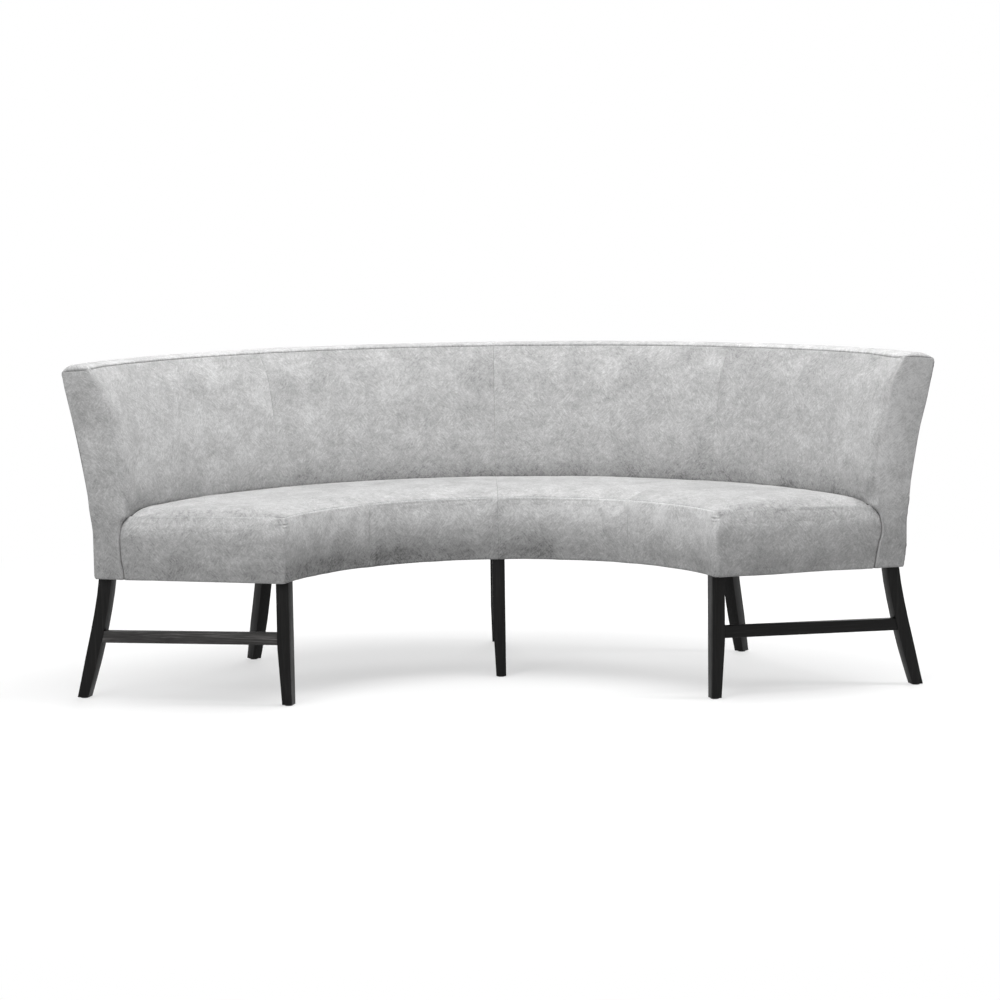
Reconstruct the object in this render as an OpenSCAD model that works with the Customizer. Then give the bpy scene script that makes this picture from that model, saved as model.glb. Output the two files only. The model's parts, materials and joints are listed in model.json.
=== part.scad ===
// Curved banquette bench: an upholstered seat and back on an arc, on wooden legs.
// The origin is on the floor, midway between the ends and midway from front to back.
// X runs along the width, Y points to the outer back and Z points up. Lengths are millimetres.

/* [Plan] */
// Angle of the arc, from end face to end face
sweep_angle = 147.3; // [110:0.1:170]
// Radius of the seat's front face about the centre of the arc
front_radius = 566; // [500:1:800]
// Depth of the seat, from its front face to the back cushion
seat_depth = 427; // [380:1:520]
// Thickness of the back at the seat
back_depth = 98.5; // [90:0.5:130]
// How far the outer back leans out at its top
outer_lean = 76.5; // [40:0.5:100]
// How far the back cushion's face leans back at its top seam
inner_lean = 65; // [30:1:80]

/* [Heights] */
// Height of the clear space under the upholstery
leg_height = 320; // [250:1:380]
// Height of the seat's crown over the floor
seat_top = 507; // [480:1:560]
// Highest point of the back
overall_height = 874; // [820:1:980]
// Height where the outer back starts to lean out
knee_height = 440; // [400:1:470]

/* [Cushions] */
// Drop from the seat's crown to the seam along its front and end edges
seat_edge_drop = 18; // [8:1:26]
// Drop from the seat's crown to the crease at the back
seat_crease_drop = 7; // [3:1:14]
// Width over which the seat's crown rounds down to its end faces
seat_end_round = 45; // [20:1:80]
// Extra set-back of the back cushion's face just below its top seam
inner_roll = 25; // [5:1:32]
// Height of that roll-over
roll_height = 81; // [50:1:110]
// Drop from the top of the back to the seam along its inner edge
inner_seam_drop = 13; // [6:1:20]
// Drop from the top of the back to the seam along its outer edge
outer_seam_drop = 10; // [5:1:20]
// How far the crease on the end faces lies outside the crease at the back of the seat
end_crease_radius_extra = 10; // [5:1:20]
// Thickness of the cover fabric
cover_t = 1.6; // [1:0.1:2.5]
// Thickness of the padding on the seat's front rail
front_pad_t = 3.8; // [3:0.1:12]
// Thickness of the padding on the end faces
end_pad_t = 10.7; // [6:0.1:16]

/* [Legs and stretchers] */
// Side of a leg's square section at the upholstery
leg_side = 33.5; // [30:0.5:45]
// Side of a front leg's section at the foot
front_foot_side = 26.5; // [20:0.5:36]
// Depth of a rear leg under the upholstery, towards the arc's centre
rear_leg_depth = 35.5; // [30:0.5:45]
// Depth of a rear leg at the foot
rear_foot_depth = 29.5; // [22:0.5:36]
// Width of a rear leg at the foot
rear_foot_width = 27; // [20:0.5:36]
// How far a rear leg's foot stands out behind its top
rear_splay = 75.5; // [40:0.5:90]
// Height below which a front leg tapers
front_taper_height = 150; // [80:1:200]
// Height below which a rear leg tapers
rear_taper_height = 110; // [60:1:180]
// Height of a stretcher's middle at the front leg
stretcher_height = 173.5; // [140:0.5:220]
// How far a stretcher drops towards the rear leg
stretcher_drop = 9; // [0:0.5:20]
// Depth of a stretcher from top to bottom
stretcher_w = 31; // [22:0.5:40]
// Thickness of a stretcher
stretcher_t = 22; // [16:0.5:28]
// Diameter of a foot glide
glide_d = 20; // [12:1:26]
// Thickness of a foot glide
glide_t = 2.5; // [1:0.5:6]

/* [Frame] */
// Thickness of the solid rails
rail_t = 22; // [16:1:26]
// Height of the solid rails
rail_h = 96; // [70:1:105]
// Thickness of the seat boards
board_t = 12; // [9:1:18]
// Thickness of the two back panels
panel_t = 4; // [3:0.5:6]
// Depth of a back post
post_depth = 38; // [30:0.5:42]
// Thickness of the top rail
top_rail_t = 18; // [12:1:24]
// Depth of the top rail's upper face below the top of the back
top_rail_drop = 28; // [22:1:40]
// Side of the glued corner blocks
block_side = 50; // [30:1:60]
// Height of the glued corner blocks
block_h = 60; // [40:1:70]
// Diameter of the dowels in the rails
dowel_d = 8; // [6:0.5:10]
// Length of a dowel in its leg
dowel_in_leg = 15; // [10:0.5:16]
// Length of a dowel in its rail
dowel_in_rail = 25; // [15:1:35]
// Diameter of the end rails' screws
screw_d = 5; // [4:0.5:6]
// Length of the end rails' screws
screw_l = 38; // [30:1:40]
// Diameter of a screw's head
screw_head_d = 10; // [8:0.5:12]
// Thickness of a screw's head
screw_head_t = 4; // [3:0.5:5]
// Thickness of the dust cover
dust_t = 1; // [0.5:0.1:2]

/* [Hidden] */
$fn = 87;
// Facets of the small round pieces
small_fn = 13;

// Clearance between soft pieces, and between a soft piece and wood
soft_gap = 0.3;
// Clearance between wooden pieces
wood_gap = 0.1;
// Clearance round a leg in the dust cover and the seat boards
slot_gap = 0.6;
// Overrun of the cuts
over = 1;
// Steps along the curved outline of the outer back, the back cushion's face and the top
outer_steps = 4;
inner_steps = 7;
top_steps = 5;
// Steps round the edge of the seat's end
round_steps = 6;
// Steps along a rear leg below the upholstery
leg_steps = 7;

// Bends of the curves, as powers of the share of their height or depth
outer_power = 1.15;
inner_power = 1.5;
roll_power = 1.6;
crown_power = 4;
splay_power = 1.25;
// Where the seat's crown is highest, as a share of its depth
seat_peak_share = 0.45;
// Places of the crown's points, as shares of the seat's depth
seat_crown_shares = [0, 0.02, 0.05, 0.1, 0.18, 0.3, 0.45, 0.7, 0.88, 1];
// Heights of the dowels and the screws, as shares of the rail's height
dowel_height_shares = [0.25, 0.75];
screw_height_shares = [0.3, 0.7];

half_angle = sweep_angle / 2;
// The seams lie in the middle and at the quarter points of the arc
seam_angle = half_angle / 2;
crease_radius = front_radius + seat_depth;
base_radius = crease_radius + back_depth;
top_radius = base_radius + outer_lean;
end_crease_radius = crease_radius + end_crease_radius_extra;
// Distance from the arc's centre to the origin, along Y
centre_y = (front_radius * cos(half_angle) + top_radius) / 2;

seat_seam_height = seat_top - seat_edge_drop;
crease_height = seat_top - seat_crease_drop;
back_seam_height = overall_height - inner_seam_drop;
outer_seam_height = overall_height - outer_seam_drop;
roll_start = back_seam_height - roll_height;

// Depth below the outer surface of what lies under a cover
under_cover = cover_t + soft_gap;

// Height where a rear leg steps in behind the cover
shoulder_height = leg_height - soft_gap;
rail_bottom = leg_height + 2 * soft_gap + dust_t;
rail_top = rail_bottom + rail_h;
board_bottom = rail_top + wood_gap;
board_top = board_bottom + board_t;
foam_bottom = board_top + soft_gap;
front_leg_face = front_radius + under_cover + front_pad_t + soft_gap;
front_leg_back = front_leg_face + leg_side;
front_rail_back = front_leg_face + rail_t;
end_rail_face = under_cover + end_pad_t + soft_gap;
leg_recess = end_rail_face + rail_t + wood_gap;
leg_inner_recess = leg_recess + leg_side;
post_set_in = under_cover + panel_t + soft_gap;
rear_leg_knee = base_radius + soft_gap * 2 - rear_leg_depth / 2;
// Set-in of the flat outer faces at the ends, which clears the curved panel behind them
end_set_in = base_radius - curved_y(base_radius, leg_inner_recess);
top_rail_top = overall_height - top_rail_drop;
top_rail_bottom = top_rail_top - top_rail_t;
post_top = top_rail_bottom - wood_gap;
reach = top_radius + overall_height;
seam_turn = turn(soft_gap, front_radius);

// Distance out along Y of a point on a circle about the arc's centre, at a distance along X
function curved_y(radius, x) = sqrt(pow(radius, 2) - pow(x, 2));
// Angle that a short length spans at a radius
function turn(length, radius) = length / radius * 180 / PI;
// Share of the way from low to high, bent by a power, and 0 below low
function bent_share(z, low, high, power) = z <= low ? 0 : pow((z - low) / (high - low), power);
// Heights of the bends in the back cushion's face and in the outer back
inner_bends = steps(crease_height, back_seam_height, inner_steps);
outer_bends = steps(knee_height, outer_seam_height, outer_steps);
// Height and radius of the cover on the back cushion's face, at its bends
inner_curve = [for (z = inner_bends) [z,
    crease_radius
    + inner_lean * bent_share(z, crease_height, back_seam_height, inner_power)
    + inner_roll * bent_share(z, roll_start, back_seam_height, roll_power)
]];
// Height and radius of the cover on the outer back, at its bends
outer_curve = [for (z = outer_bends) [z,
    base_radius + outer_lean * bent_share(z, knee_height, outer_seam_height, outer_power)
]];
// Radius of the cover on the back cushion's face, and on the outer back, at any height
function inner_radius(z) = lookup(z, inner_curve);
function outer_radius(z) = lookup(z, outer_curve);
// Radius of a back post's outer face, and of its inner face, at a height
function post_outer(z) = outer_radius(z) - post_set_in;
function post_inner(z) = post_outer(z) - post_depth;
// Radius of the outer faces of the rear rails and the seat boards
rear_rail_face = post_outer(rail_bottom);
// Even steps from one value to another
function steps(from, to, count) = [for (i = [0 : count]) from + (to - from) * i / count];
function reversed(list) = [for (i = [len(list) - 1 : -1 : 0]) list[i]];
// Heights from low to high, with all the bends of a curve between them
function heights(low, bends, high) = concat([low], [for (z = bends) if (z > low && z < high) z], [high]);
function outer_heights(low, high) = heights(low, outer_bends, high);
function inner_heights(low, high) = heights(low, inner_bends, high);
// Line of points whose radius is a function of the height
function line(radius, list) = [for (z = list) [radius(z), z]];
// Outline of a curved wall between two such lines
function wall(inner, outer) = concat(inner, reversed(outer));

// Height of the seat's cover at a share of its depth
function seat_height(share) = share < seat_peak_share
    ? seat_top - seat_edge_drop * pow(1 - share / seat_peak_share, crown_power)
    : seat_top - seat_crease_drop * pow((share - seat_peak_share) / (1 - seat_peak_share), crown_power);
// Crowned outline of the seat, set in by a distance all round, down to a height
function seat_profile(inset, low) = concat(
    [[front_radius + inset, low]],
    [for (share = seat_crown_shares)
        [front_radius + inset + share * (seat_depth - soft_gap - 2 * inset), seat_height(share) - inset]],
    [[crease_radius - soft_gap - inset, low]]
);
// Height of the top band at a share of its width
function top_height(share) = share < 0.5
    ? overall_height - inner_seam_drop * pow(1 - 2 * share, 2)
    : overall_height - outer_seam_drop * pow(2 * share - 1, 2);
// Crowned line across the top of the back, set in by a distance
function top_line(inset) =
    let (
        inner = inner_radius(back_seam_height - inset) + inset,
        outer = outer_radius(outer_seam_height - inset) - inset
    )
    [for (share = steps(0, 1, top_steps)) [inner + share * (outer - inner), top_height(share) - inset]];

// Middle of a rear leg under the upholstery, and its depth, at a height
function rear_leg_middle(z) = rear_leg_knee + rear_splay * pow(1 - z / leg_height, splay_power);
function rear_leg_depth_at(z) =
    rear_leg_depth - (rear_leg_depth - rear_foot_depth) * max(0, 1 - z / rear_taper_height);
function rear_leg_inner(z) = rear_leg_middle(z) - rear_leg_depth_at(z) / 2;
function rear_leg_outer(z) = rear_leg_middle(z) + rear_leg_depth_at(z) / 2;
// Inner face of a rear leg inside the seat frame, where it runs up into the back post
function framed_post_inner(z) =
    let (
        low = rear_leg_inner(shoulder_height),
        share = (z - shoulder_height) / (foam_bottom - shoulder_height)
    )
    low + (post_inner(foam_bottom) - low) * share;

// Frames of reference

// Everything is drawn about the centre of the arc and then moved to the origin
module placed() {
    translate([0, -centre_y, 0]) children();
}

// At an angle from the middle of the bench: Y points out along the radius, X to the right
module at_angle(angle) {
    rotate([0, 0, -angle]) children();
}

// On the right end plane, with X pointing out of the end, mirrored for the left end
module at_end(side) {
    mirror([side < 0 ? 1 : 0, 0, 0]) at_angle(half_angle) children();
}

// Mirrors a piece of the right half to the left half
module on_side(side) {
    mirror([side < 0 ? 1 : 0, 0, 0]) children();
}

// Turns an outline of radius and height about the arc's centre between two angles
module sector(outline, from, to) {
    rotate([0, 0, 90 - to]) rotate_extrude(angle = to - from) polygon(outline);
}

// Draws an outline of radius and height as a plate between two X positions
module plate(outline, x_low, x_high) {
    translate([x_low, 0, 0]) rotate([90, 0, 90]) linear_extrude(x_high - x_low) polygon(outline);
}

// Takes away everything nearer to both end planes than a distance
module clip_ends(recess) {
    difference() {
        children();
        for (side = [-1, 1])
            at_end(side) translate([-recess, 0, -over]) cube([recess + over, reach, reach]);
    }
}

// Outline of an upright rectangle of radius and height
function box_profile(r_low, r_high, z_low, z_high) =
    [[r_low, z_low], [r_high, z_low], [r_high, z_high], [r_low, z_high]];

// Legs and stretchers

// Places of the intermediate and middle rear legs, as angles
rear_leg_angles = [-seam_angle, 0, seam_angle];

// Front leg from its top in the seat frame to its glide, tapered on its back and on one side
module front_leg_blank(x_low) {
    straight = front_taper_height;
    intersection() {
        plate([
            [front_leg_face, glide_t], [front_leg_face + front_foot_side, glide_t],
            [front_leg_back, straight], [front_leg_back, rail_top], [front_leg_face, rail_top]
        ], x_low, x_low + leg_side);
        translate([0, front_leg_back + over, 0]) rotate([90, 0, 0])
            linear_extrude(leg_side + 2 * over) polygon([
                [x_low, glide_t], [x_low + front_foot_side, glide_t],
                [x_low + leg_side, straight], [x_low + leg_side, rail_top], [x_low, rail_top]
            ]);
    }
}

module front_leg(side) {
    color("#26221f") placed() difference() {
        at_end(side) difference() {
            front_leg_blank(-leg_inner_recess);
            front_tenon(wood_gap);
            end_screw_holes();
        }
        frame_dowel_set(wood_gap);
    }
}

module front_leg_centre() {
    color("#26221f") placed() difference() {
        mirror([1, 0, 0]) front_leg_blank(-leg_side / 2);
        frame_dowel_set(wood_gap);
    }
}

// Rear leg that curves out to its foot and runs up inside the back as a post
module rear_leg_blank(x_low, set_in) {
    lower = steps(glide_t, shoulder_height, leg_steps);
    upper = outer_heights(foam_bottom, post_top);
    taper = (leg_side - rear_foot_width) / 2;
    intersection() {
        plate(concat(
            line(function(z) rear_leg_outer(z), lower),
            line(function(z) post_outer(z) - set_in, concat([shoulder_height], upper)),
            line(function(z) post_inner(z), reversed(upper)),
            line(function(z) rear_leg_inner(z), reversed(lower))
        ), x_low, x_low + leg_side);
        translate([0, top_radius + over, 0]) rotate([90, 0, 0])
            linear_extrude(top_radius - crease_radius) polygon([
                [x_low + taper, glide_t], [x_low + leg_side - taper, glide_t],
                [x_low + leg_side, rear_taper_height], [x_low + leg_side, post_top],
                [x_low, post_top], [x_low, rear_taper_height]
            ]);
    }
}

module rear_leg(angle) {
    color("#26221f") placed() difference() {
        at_angle(angle) rear_leg_blank(-leg_side / 2, 0);
        frame_dowel_set(wood_gap);
    }
}

module rear_leg_end(side) {
    color("#26221f") placed() difference() {
        at_end(side) difference() {
            rear_leg_blank(-leg_inner_recess, end_set_in);
            rear_tenon(wood_gap);
            end_screw_holes();
        }
        frame_dowel_set(wood_gap);
    }
}

// Stretcher between the front and the rear leg of an end, with a tenon in each
tenon_t = stretcher_t / 2;
tenon_w = stretcher_w * 2 / 3;
tenon_l = 15;
stretcher_face_set_back = 1;
stretcher_x = -leg_recess - stretcher_face_set_back - stretcher_t;
tenon_x = stretcher_x + (stretcher_t - tenon_t) / 2;

module front_tenon(grow) {
    translate([tenon_x - grow, front_leg_back - tenon_l - grow, stretcher_height - tenon_w / 2 - grow])
        cube([tenon_t + 2 * grow, tenon_l + 2 * grow + over, tenon_w + 2 * grow]);
}

module rear_tenon(grow) {
    middle = stretcher_height - stretcher_drop;
    face = rear_leg_inner(middle);
    start = face - 3 * over;
    translate([tenon_x - grow, start, middle - tenon_w / 2 - grow])
        cube([tenon_t + 2 * grow, face + tenon_l - start + grow, tenon_w + 2 * grow]);
}

module stretcher(side) {
    half = stretcher_w / 2;
    front = front_leg_back + wood_gap;
    front_z = stretcher_height;
    rear_z = stretcher_height - stretcher_drop;
    rear_low = rear_leg_inner(rear_z - half) - wood_gap;
    rear_high = rear_leg_inner(rear_z + half) - wood_gap;
    color("#26221f") placed() at_end(side) {
        plate([
            [front, front_z - half], [rear_low, rear_z - half],
            [rear_high, rear_z + half], [front, front_z + half]
        ], stretcher_x, stretcher_x + stretcher_t);
        front_tenon(0);
        rear_tenon(0);
    }
}

// Nylon glides under the eight feet
module glide_at(x, y) {
    translate([x, y, 0]) cylinder(d = glide_d, h = glide_t - wood_gap, $fn = small_fn);
}

module foot_glides() {
    front_y = front_leg_face + front_foot_side / 2;
    rear_y = rear_leg_middle(0);
    color("#3a3a3a") placed() {
        for (side = [-1, 1]) at_end(side) {
            glide_at(front_foot_side / 2 - leg_inner_recess, front_y);
            glide_at(leg_side / 2 - leg_inner_recess, rear_y);
        }
        glide_at(leg_side / 2 - front_foot_side / 2, front_y);
        for (angle = rear_leg_angles) at_angle(angle) glide_at(0, rear_y);
    }
}

// Seat frame

// Room that the posts and the legs take, for the pieces that end against them
module post_room(angle, gap) {
    at_angle(angle) translate([-leg_side / 2 - gap, 0, -over])
        cube([leg_side + 2 * gap, reach, reach]);
}

module front_rail(side) {
    color("#c9a877") placed() difference() {
        on_side(side) clip_ends(leg_inner_recess + wood_gap) difference() {
            sector(box_profile(front_leg_face, front_rail_back, rail_bottom, rail_top), 0, half_angle);
            post_room(0, wood_gap);
        }
        frame_dowel_set(wood_gap);
    }
}

// Rear rail between the post at one angle and the next, or the end post
module rear_rail(side, from, to) {
    color("#c9a877") placed() difference() {
        on_side(side) clip_ends(leg_inner_recess + wood_gap) difference() {
            sector(
                box_profile(rear_rail_face - rail_t, rear_rail_face, rail_bottom, rail_top), from, to
            );
            post_room(from, wood_gap);
            if (to < half_angle) post_room(to, wood_gap);
        }
        frame_dowel_set(wood_gap);
    }
}

module end_rail(side) {
    color("#c9a877") placed() at_end(side) difference() {
        plate(
            box_profile(front_leg_face, rear_rail_face - end_set_in, rail_bottom, rail_top),
            -leg_recess + wood_gap, -end_rail_face
        );
        end_screw_holes();
    }
}

// Cross rail from the front rail, or the middle front leg, to a rear post
module cross_rail(angle, front) {
    color("#c9a877") placed() at_angle(angle) plate([
        [front + wood_gap, rail_bottom], [framed_post_inner(rail_bottom) - wood_gap, rail_bottom],
        [framed_post_inner(rail_top) - wood_gap, rail_top], [front + wood_gap, rail_top]
    ], -rail_t / 2, rail_t / 2);
}

// Glued block in a corner at the origin, on the side of +X or -X and of +Y or -Y
module corner_block(x_sign, y_sign) {
    mirror([x_sign < 0 ? 1 : 0, 0, 0]) mirror([0, y_sign < 0 ? 1 : 0, 0])
        translate([wood_gap, wood_gap, 0])
            linear_extrude(block_h) polygon([[0, 0], [block_side, 0], [0, block_side]]);
}

module corner_blocks() {
    low = rail_bottom + (rail_h - block_h) / 2;
    rear_face = framed_post_inner(rail_bottom);
    color("#c9a877") placed() {
        for (side = [-1, 1]) {
            for (x_sign = [-1, 1])
                at_angle(side * seam_angle)
                    translate([x_sign * rail_t / 2, front_rail_back, low]) corner_block(x_sign, 1);
            at_end(side) {
                translate([-leg_recess, front_leg_back, low]) corner_block(-1, 1);
                translate([-leg_recess, framed_post_inner(low + block_h), low]) corner_block(-1, -1);
            }
        }
    }
}

// Dowels, or their holes where they grow, across the side of a leg at an X position
module dowel_pair(x, y, direction, grow) {
    for (share = dowel_height_shares)
        translate([x - direction * (dowel_in_leg + grow), y, rail_bottom + share * rail_h])
            rotate([0, direction * 90, 0])
                cylinder(d = dowel_d + 2 * grow, h = dowel_in_leg + dowel_in_rail + 2 * grow, $fn = small_fn);
}

module frame_dowel_set(grow) {
    front_y = front_leg_face + rail_t / 2;
    rear_y = rear_rail_face - rail_t / 2;
    for (direction = [-1, 1]) {
        dowel_pair(direction * leg_side / 2, front_y, direction, grow);
        for (angle = rear_leg_angles)
            at_angle(angle) dowel_pair(direction * leg_side / 2, rear_y, direction, grow);
    }
    for (side = [-1, 1]) at_end(side) {
        dowel_pair(-leg_inner_recess, curved_y(front_y, leg_inner_recess), -1, grow);
        dowel_pair(-leg_inner_recess, curved_y(rear_y, leg_inner_recess), -1, grow);
    }
}

module frame_dowels() {
    color("#d8bd90") placed() frame_dowel_set(0);
}

// Places of the screws through an end rail into its two legs
screw_rows = [front_leg_face + leg_side / 2, rear_rail_face - post_depth / 2];

module at_screws() {
    for (y = screw_rows, share = screw_height_shares)
        translate([-end_rail_face, y, rail_bottom + share * rail_h]) rotate([0, -90, 0]) children();
}

module end_screw_holes() {
    at_screws() {
        translate([0, 0, -over])
            cylinder(d = screw_head_d + 2 * wood_gap, h = screw_head_t + over + wood_gap, $fn = small_fn);
        cylinder(d = screw_d + 2 * wood_gap, h = screw_l + wood_gap, $fn = small_fn);
    }
}

module end_rail_screws() {
    color("#b5b7ba") placed() for (side = [-1, 1]) at_end(side) at_screws() {
        cylinder(d = screw_head_d, h = screw_head_t, $fn = small_fn);
        cylinder(d = screw_d, h = screw_l, $fn = small_fn);
    }
}

// Room round all the posts and the boards on the end posts, at the seat boards
module post_slots() {
    for (angle = rear_leg_angles)
        at_angle(angle) translate([-leg_side / 2 - slot_gap, post_inner(foam_bottom) - slot_gap, 0])
            cube([leg_side + 2 * slot_gap, back_depth, reach]);
    for (side = [-1, 1])
        at_end(side) translate([-leg_inner_recess - slot_gap, post_inner(foam_bottom) - slot_gap, 0])
            cube([leg_inner_recess + slot_gap + over, back_depth, reach]);
}

module seat_board(side, from, to) {
    color("#d9bf91") placed() on_side(side) clip_ends(end_rail_face) difference() {
        sector(
            box_profile(front_leg_face, rear_rail_face, board_bottom, board_top),
            from + seam_turn / 2, to
        );
        post_slots();
    }
}

// Room round a leg in the dust cover
module leg_slot(x, y, depth) {
    translate([x - slot_gap, y - slot_gap, 0])
        cube([leg_side + 2 * slot_gap, depth + 2 * slot_gap, reach]);
}

module dust_cover() {
    low = leg_height + soft_gap;
    rear = framed_post_inner(low);
    color("#1c1c1c") placed() clip_ends(under_cover) difference() {
        sector(
            box_profile(front_radius + under_cover, base_radius - under_cover, low, low + dust_t),
            -half_angle, half_angle
        );
        leg_slot(-leg_side / 2, 0, front_leg_back);
        for (angle = rear_leg_angles) at_angle(angle) leg_slot(-leg_side / 2, rear, rear_leg_depth);
        for (side = [-1, 1]) at_end(side) {
            leg_slot(-leg_inner_recess, 0, front_leg_back);
            leg_slot(-leg_inner_recess, rear, rear_leg_depth);
        }
    }
}

// Seat upholstery

// Block whose top rounds down to the seam on both end planes, set in by a distance
module end_rounding(inset) {
    rise = seat_edge_drop + cover_t;
    high = [for (t = steps(0, 90, round_steps))
        [-inset - seat_end_round * (1 - cos(t)), seat_seam_height - inset + rise * sin(t)]];
    at_angle(half_angle) rotate([90, 0, 0]) translate([0, 0, -reach])
        linear_extrude(2 * reach) polygon(concat(
            high, [[-reach * 2, seat_seam_height + rise - inset], [-reach * 2, 0], [-inset, 0]]
        ));
}

// Crowned body of the seat between two angles of the right half
module seat_body(inset, low, from, to) {
    intersection() {
        sector(seat_profile(inset, low), from, to);
        end_rounding(inset);
    }
}

// Four slabs of foam, cut under the seams of the cover
module seat_foam() {
    color("#e8dfc2") placed() for (side = [-1, 1], from = [0, seam_angle])
        on_side(side) seat_body(under_cover, foam_bottom, from + seam_turn / 2, from + seam_angle);
}

module seat_cover(side, from, to) {
    skirt = seat_seam_height - cover_t;
    color("#d3d2d0") placed() on_side(side) difference() {
        seat_body(0, skirt, from + seam_turn / 2, to);
        seat_body(cover_t, skirt - over, from - seam_angle, half_angle);
    }
}

module front_padding() {
    color("#efece4") placed() clip_ends(under_cover) sector(
        box_profile(front_radius + under_cover, front_leg_face - soft_gap, rail_bottom, board_top),
        -half_angle, half_angle
    );
}

module seat_end_pad(side) {
    color("#efece4") placed() at_end(side) plate(
        box_profile(front_leg_face, end_crease_radius - soft_gap, rail_bottom, board_top),
        -end_rail_face + soft_gap, -under_cover
    );
}

// Upright strip round the seat's front, which wraps on to the end face
module boxing(side, from, to) {
    high = seat_seam_height - under_cover;
    color("#c4c3c1") placed() on_side(side) {
        sector(
            box_profile(front_radius, front_radius + cover_t, leg_height, high), from + seam_turn / 2, to
        );
        if (to == half_angle)
            at_angle(half_angle) plate([
                [front_radius, leg_height], [end_crease_radius, leg_height],
                [end_crease_radius, high - seat_edge_drop], [crease_radius - seat_edge_drop, high],
                [front_radius, high]
            ], -cover_t, 0);
    }
}

// Back frame

module top_rail(side) {
    ends = [top_rail_bottom, top_rail_top];
    outline = wall(line(function(z) post_inner(z), ends), line(function(z) post_outer(z), ends));
    color("#d9bf91") placed() on_side(side) clip_ends(end_rail_face)
        sector(outline, seam_turn / 2, half_angle);
}

module back_end_board(side) {
    rise = outer_heights(foam_bottom, post_top);
    outline = wall(
        line(function(z) post_inner(z), concat([board_bottom], rise)),
        line(function(z) post_outer(z) - end_set_in, concat([board_bottom], rise))
    );
    color("#d9bf91") placed() at_end(side) plate(outline, -leg_recess + wood_gap, -end_rail_face);
}

module inner_back_panel() {
    rise = outer_heights(foam_bottom, top_rail_top);
    outline = wall(
        line(function(z) post_inner(z) - wood_gap - panel_t, rise),
        line(function(z) post_inner(z) - wood_gap, rise)
    );
    color("#d9bf91") placed() clip_ends(end_rail_face) sector(outline, -half_angle, half_angle);
}

module outer_back_panel() {
    rise = outer_heights(rail_bottom, top_rail_top);
    outline = wall(
        line(function(z) outer_radius(z) - under_cover - panel_t, rise),
        line(function(z) outer_radius(z) - under_cover, rise)
    );
    color("#d9bf91") placed() clip_ends(end_rail_face) sector(outline, -half_angle, half_angle);
}

// Back upholstery

module back_foam() {
    outline = wall(
        line(function(z) inner_radius(z) + under_cover, inner_heights(foam_bottom, top_rail_top)),
        line(
            function(z) post_inner(z) - wood_gap - panel_t - soft_gap,
            outer_heights(foam_bottom, top_rail_top)
        )
    );
    color("#e8dfc2") placed() clip_ends(under_cover) sector(outline, -half_angle, half_angle);
}

module top_foam() {
    low = top_rail_top + soft_gap;
    color("#e8dfc2") placed() clip_ends(under_cover) sector(concat(
        [[inner_radius(low) + under_cover, low]],
        top_line(under_cover),
        [[outer_radius(low) - under_cover, low]]
    ), -half_angle, half_angle);
}

module back_end_pad(side) {
    front = end_crease_radius + soft_gap;
    outline = concat(
        [[front, rail_bottom], [front, board_top], [post_inner(board_top) - panel_t, board_top]],
        line(function(z) post_inner(z) - wood_gap - panel_t, outer_heights(foam_bottom, top_rail_top)),
        line(function(z) outer_radius(z) - under_cover, reversed(outer_heights(rail_bottom, top_rail_top)))
    );
    color("#efece4") placed() at_end(side) plate(outline, -end_rail_face + soft_gap, -under_cover);
}

// Flat outline of the back's end face, from the crease to the outer back and up to the top band
function back_end_outline() =
    let (front = end_crease_radius + soft_gap, high = back_seam_height - under_cover)
    concat(
        [[front, leg_height], [front, seat_seam_height - under_cover - seat_edge_drop]],
        line(function(z) inner_radius(z), inner_heights(crease_height, high)),
        [for (i = [1 : top_steps - 1]) top_line(under_cover + soft_gap)[i]],
        line(
            function(z) outer_radius(z) - under_cover,
            reversed(outer_heights(leg_height, outer_seam_height - under_cover))
        )
    );

// Cover of the back cushion's face, which wraps on to the end face
module back_cover(side, from, to) {
    rise = inner_heights(board_top + cover_t, back_seam_height - under_cover);
    outline = wall(
        line(function(z) inner_radius(z), rise),
        line(function(z) inner_radius(z) + cover_t, rise)
    );
    color("#c4c3c1") placed() on_side(side) {
        clip_ends(cover_t) sector(outline, from + seam_turn / 2, to);
        if (to == half_angle)
            at_angle(half_angle) plate(back_end_outline(), -cover_t, 0);
    }
}

// Crowned band of cover over the top of the back
module top_band() {
    color("#e2e1df") placed() sector(
        concat(top_line(0), reversed([for (p = top_line(0)) [p[0], p[1] - cover_t]])),
        -half_angle, half_angle
    );
}

module outer_back_cover() {
    rise = outer_heights(leg_height, outer_seam_height - under_cover);
    outline = wall(
        line(function(z) outer_radius(z) - cover_t, rise),
        line(function(z) outer_radius(z), rise)
    );
    color("#c4c3c1") placed() sector(outline, -half_angle, half_angle);
}

front_leg(-1);  // front_leg_left
front_leg_centre();
front_leg(1);  // front_leg_right
rear_leg_end(-1);  // rear_leg_left_end
rear_leg(-seam_angle);  // rear_leg_left
rear_leg(0);  // rear_leg_centre
rear_leg(seam_angle);  // rear_leg_right
rear_leg_end(1);  // rear_leg_right_end
stretcher(-1);  // stretcher_left
stretcher(1);  // stretcher_right
foot_glides();
front_rail(-1);  // front_rail_left
front_rail(1);  // front_rail_right
rear_rail(-1, seam_angle, half_angle);  // rear_rail_left_end
rear_rail(-1, 0, seam_angle);  // rear_rail_left
rear_rail(1, 0, seam_angle);  // rear_rail_right
rear_rail(1, seam_angle, half_angle);  // rear_rail_right_end
end_rail(-1);  // end_rail_left
end_rail(1);  // end_rail_right
cross_rail(-seam_angle, front_rail_back);  // cross_rail_left
cross_rail(0, front_leg_back);  // cross_rail_centre
cross_rail(seam_angle, front_rail_back);  // cross_rail_right
corner_blocks();
frame_dowels();
end_rail_screws();
seat_board(-1, seam_angle, half_angle);  // seat_board_left_end
seat_board(-1, 0, seam_angle);  // seat_board_left
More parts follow.
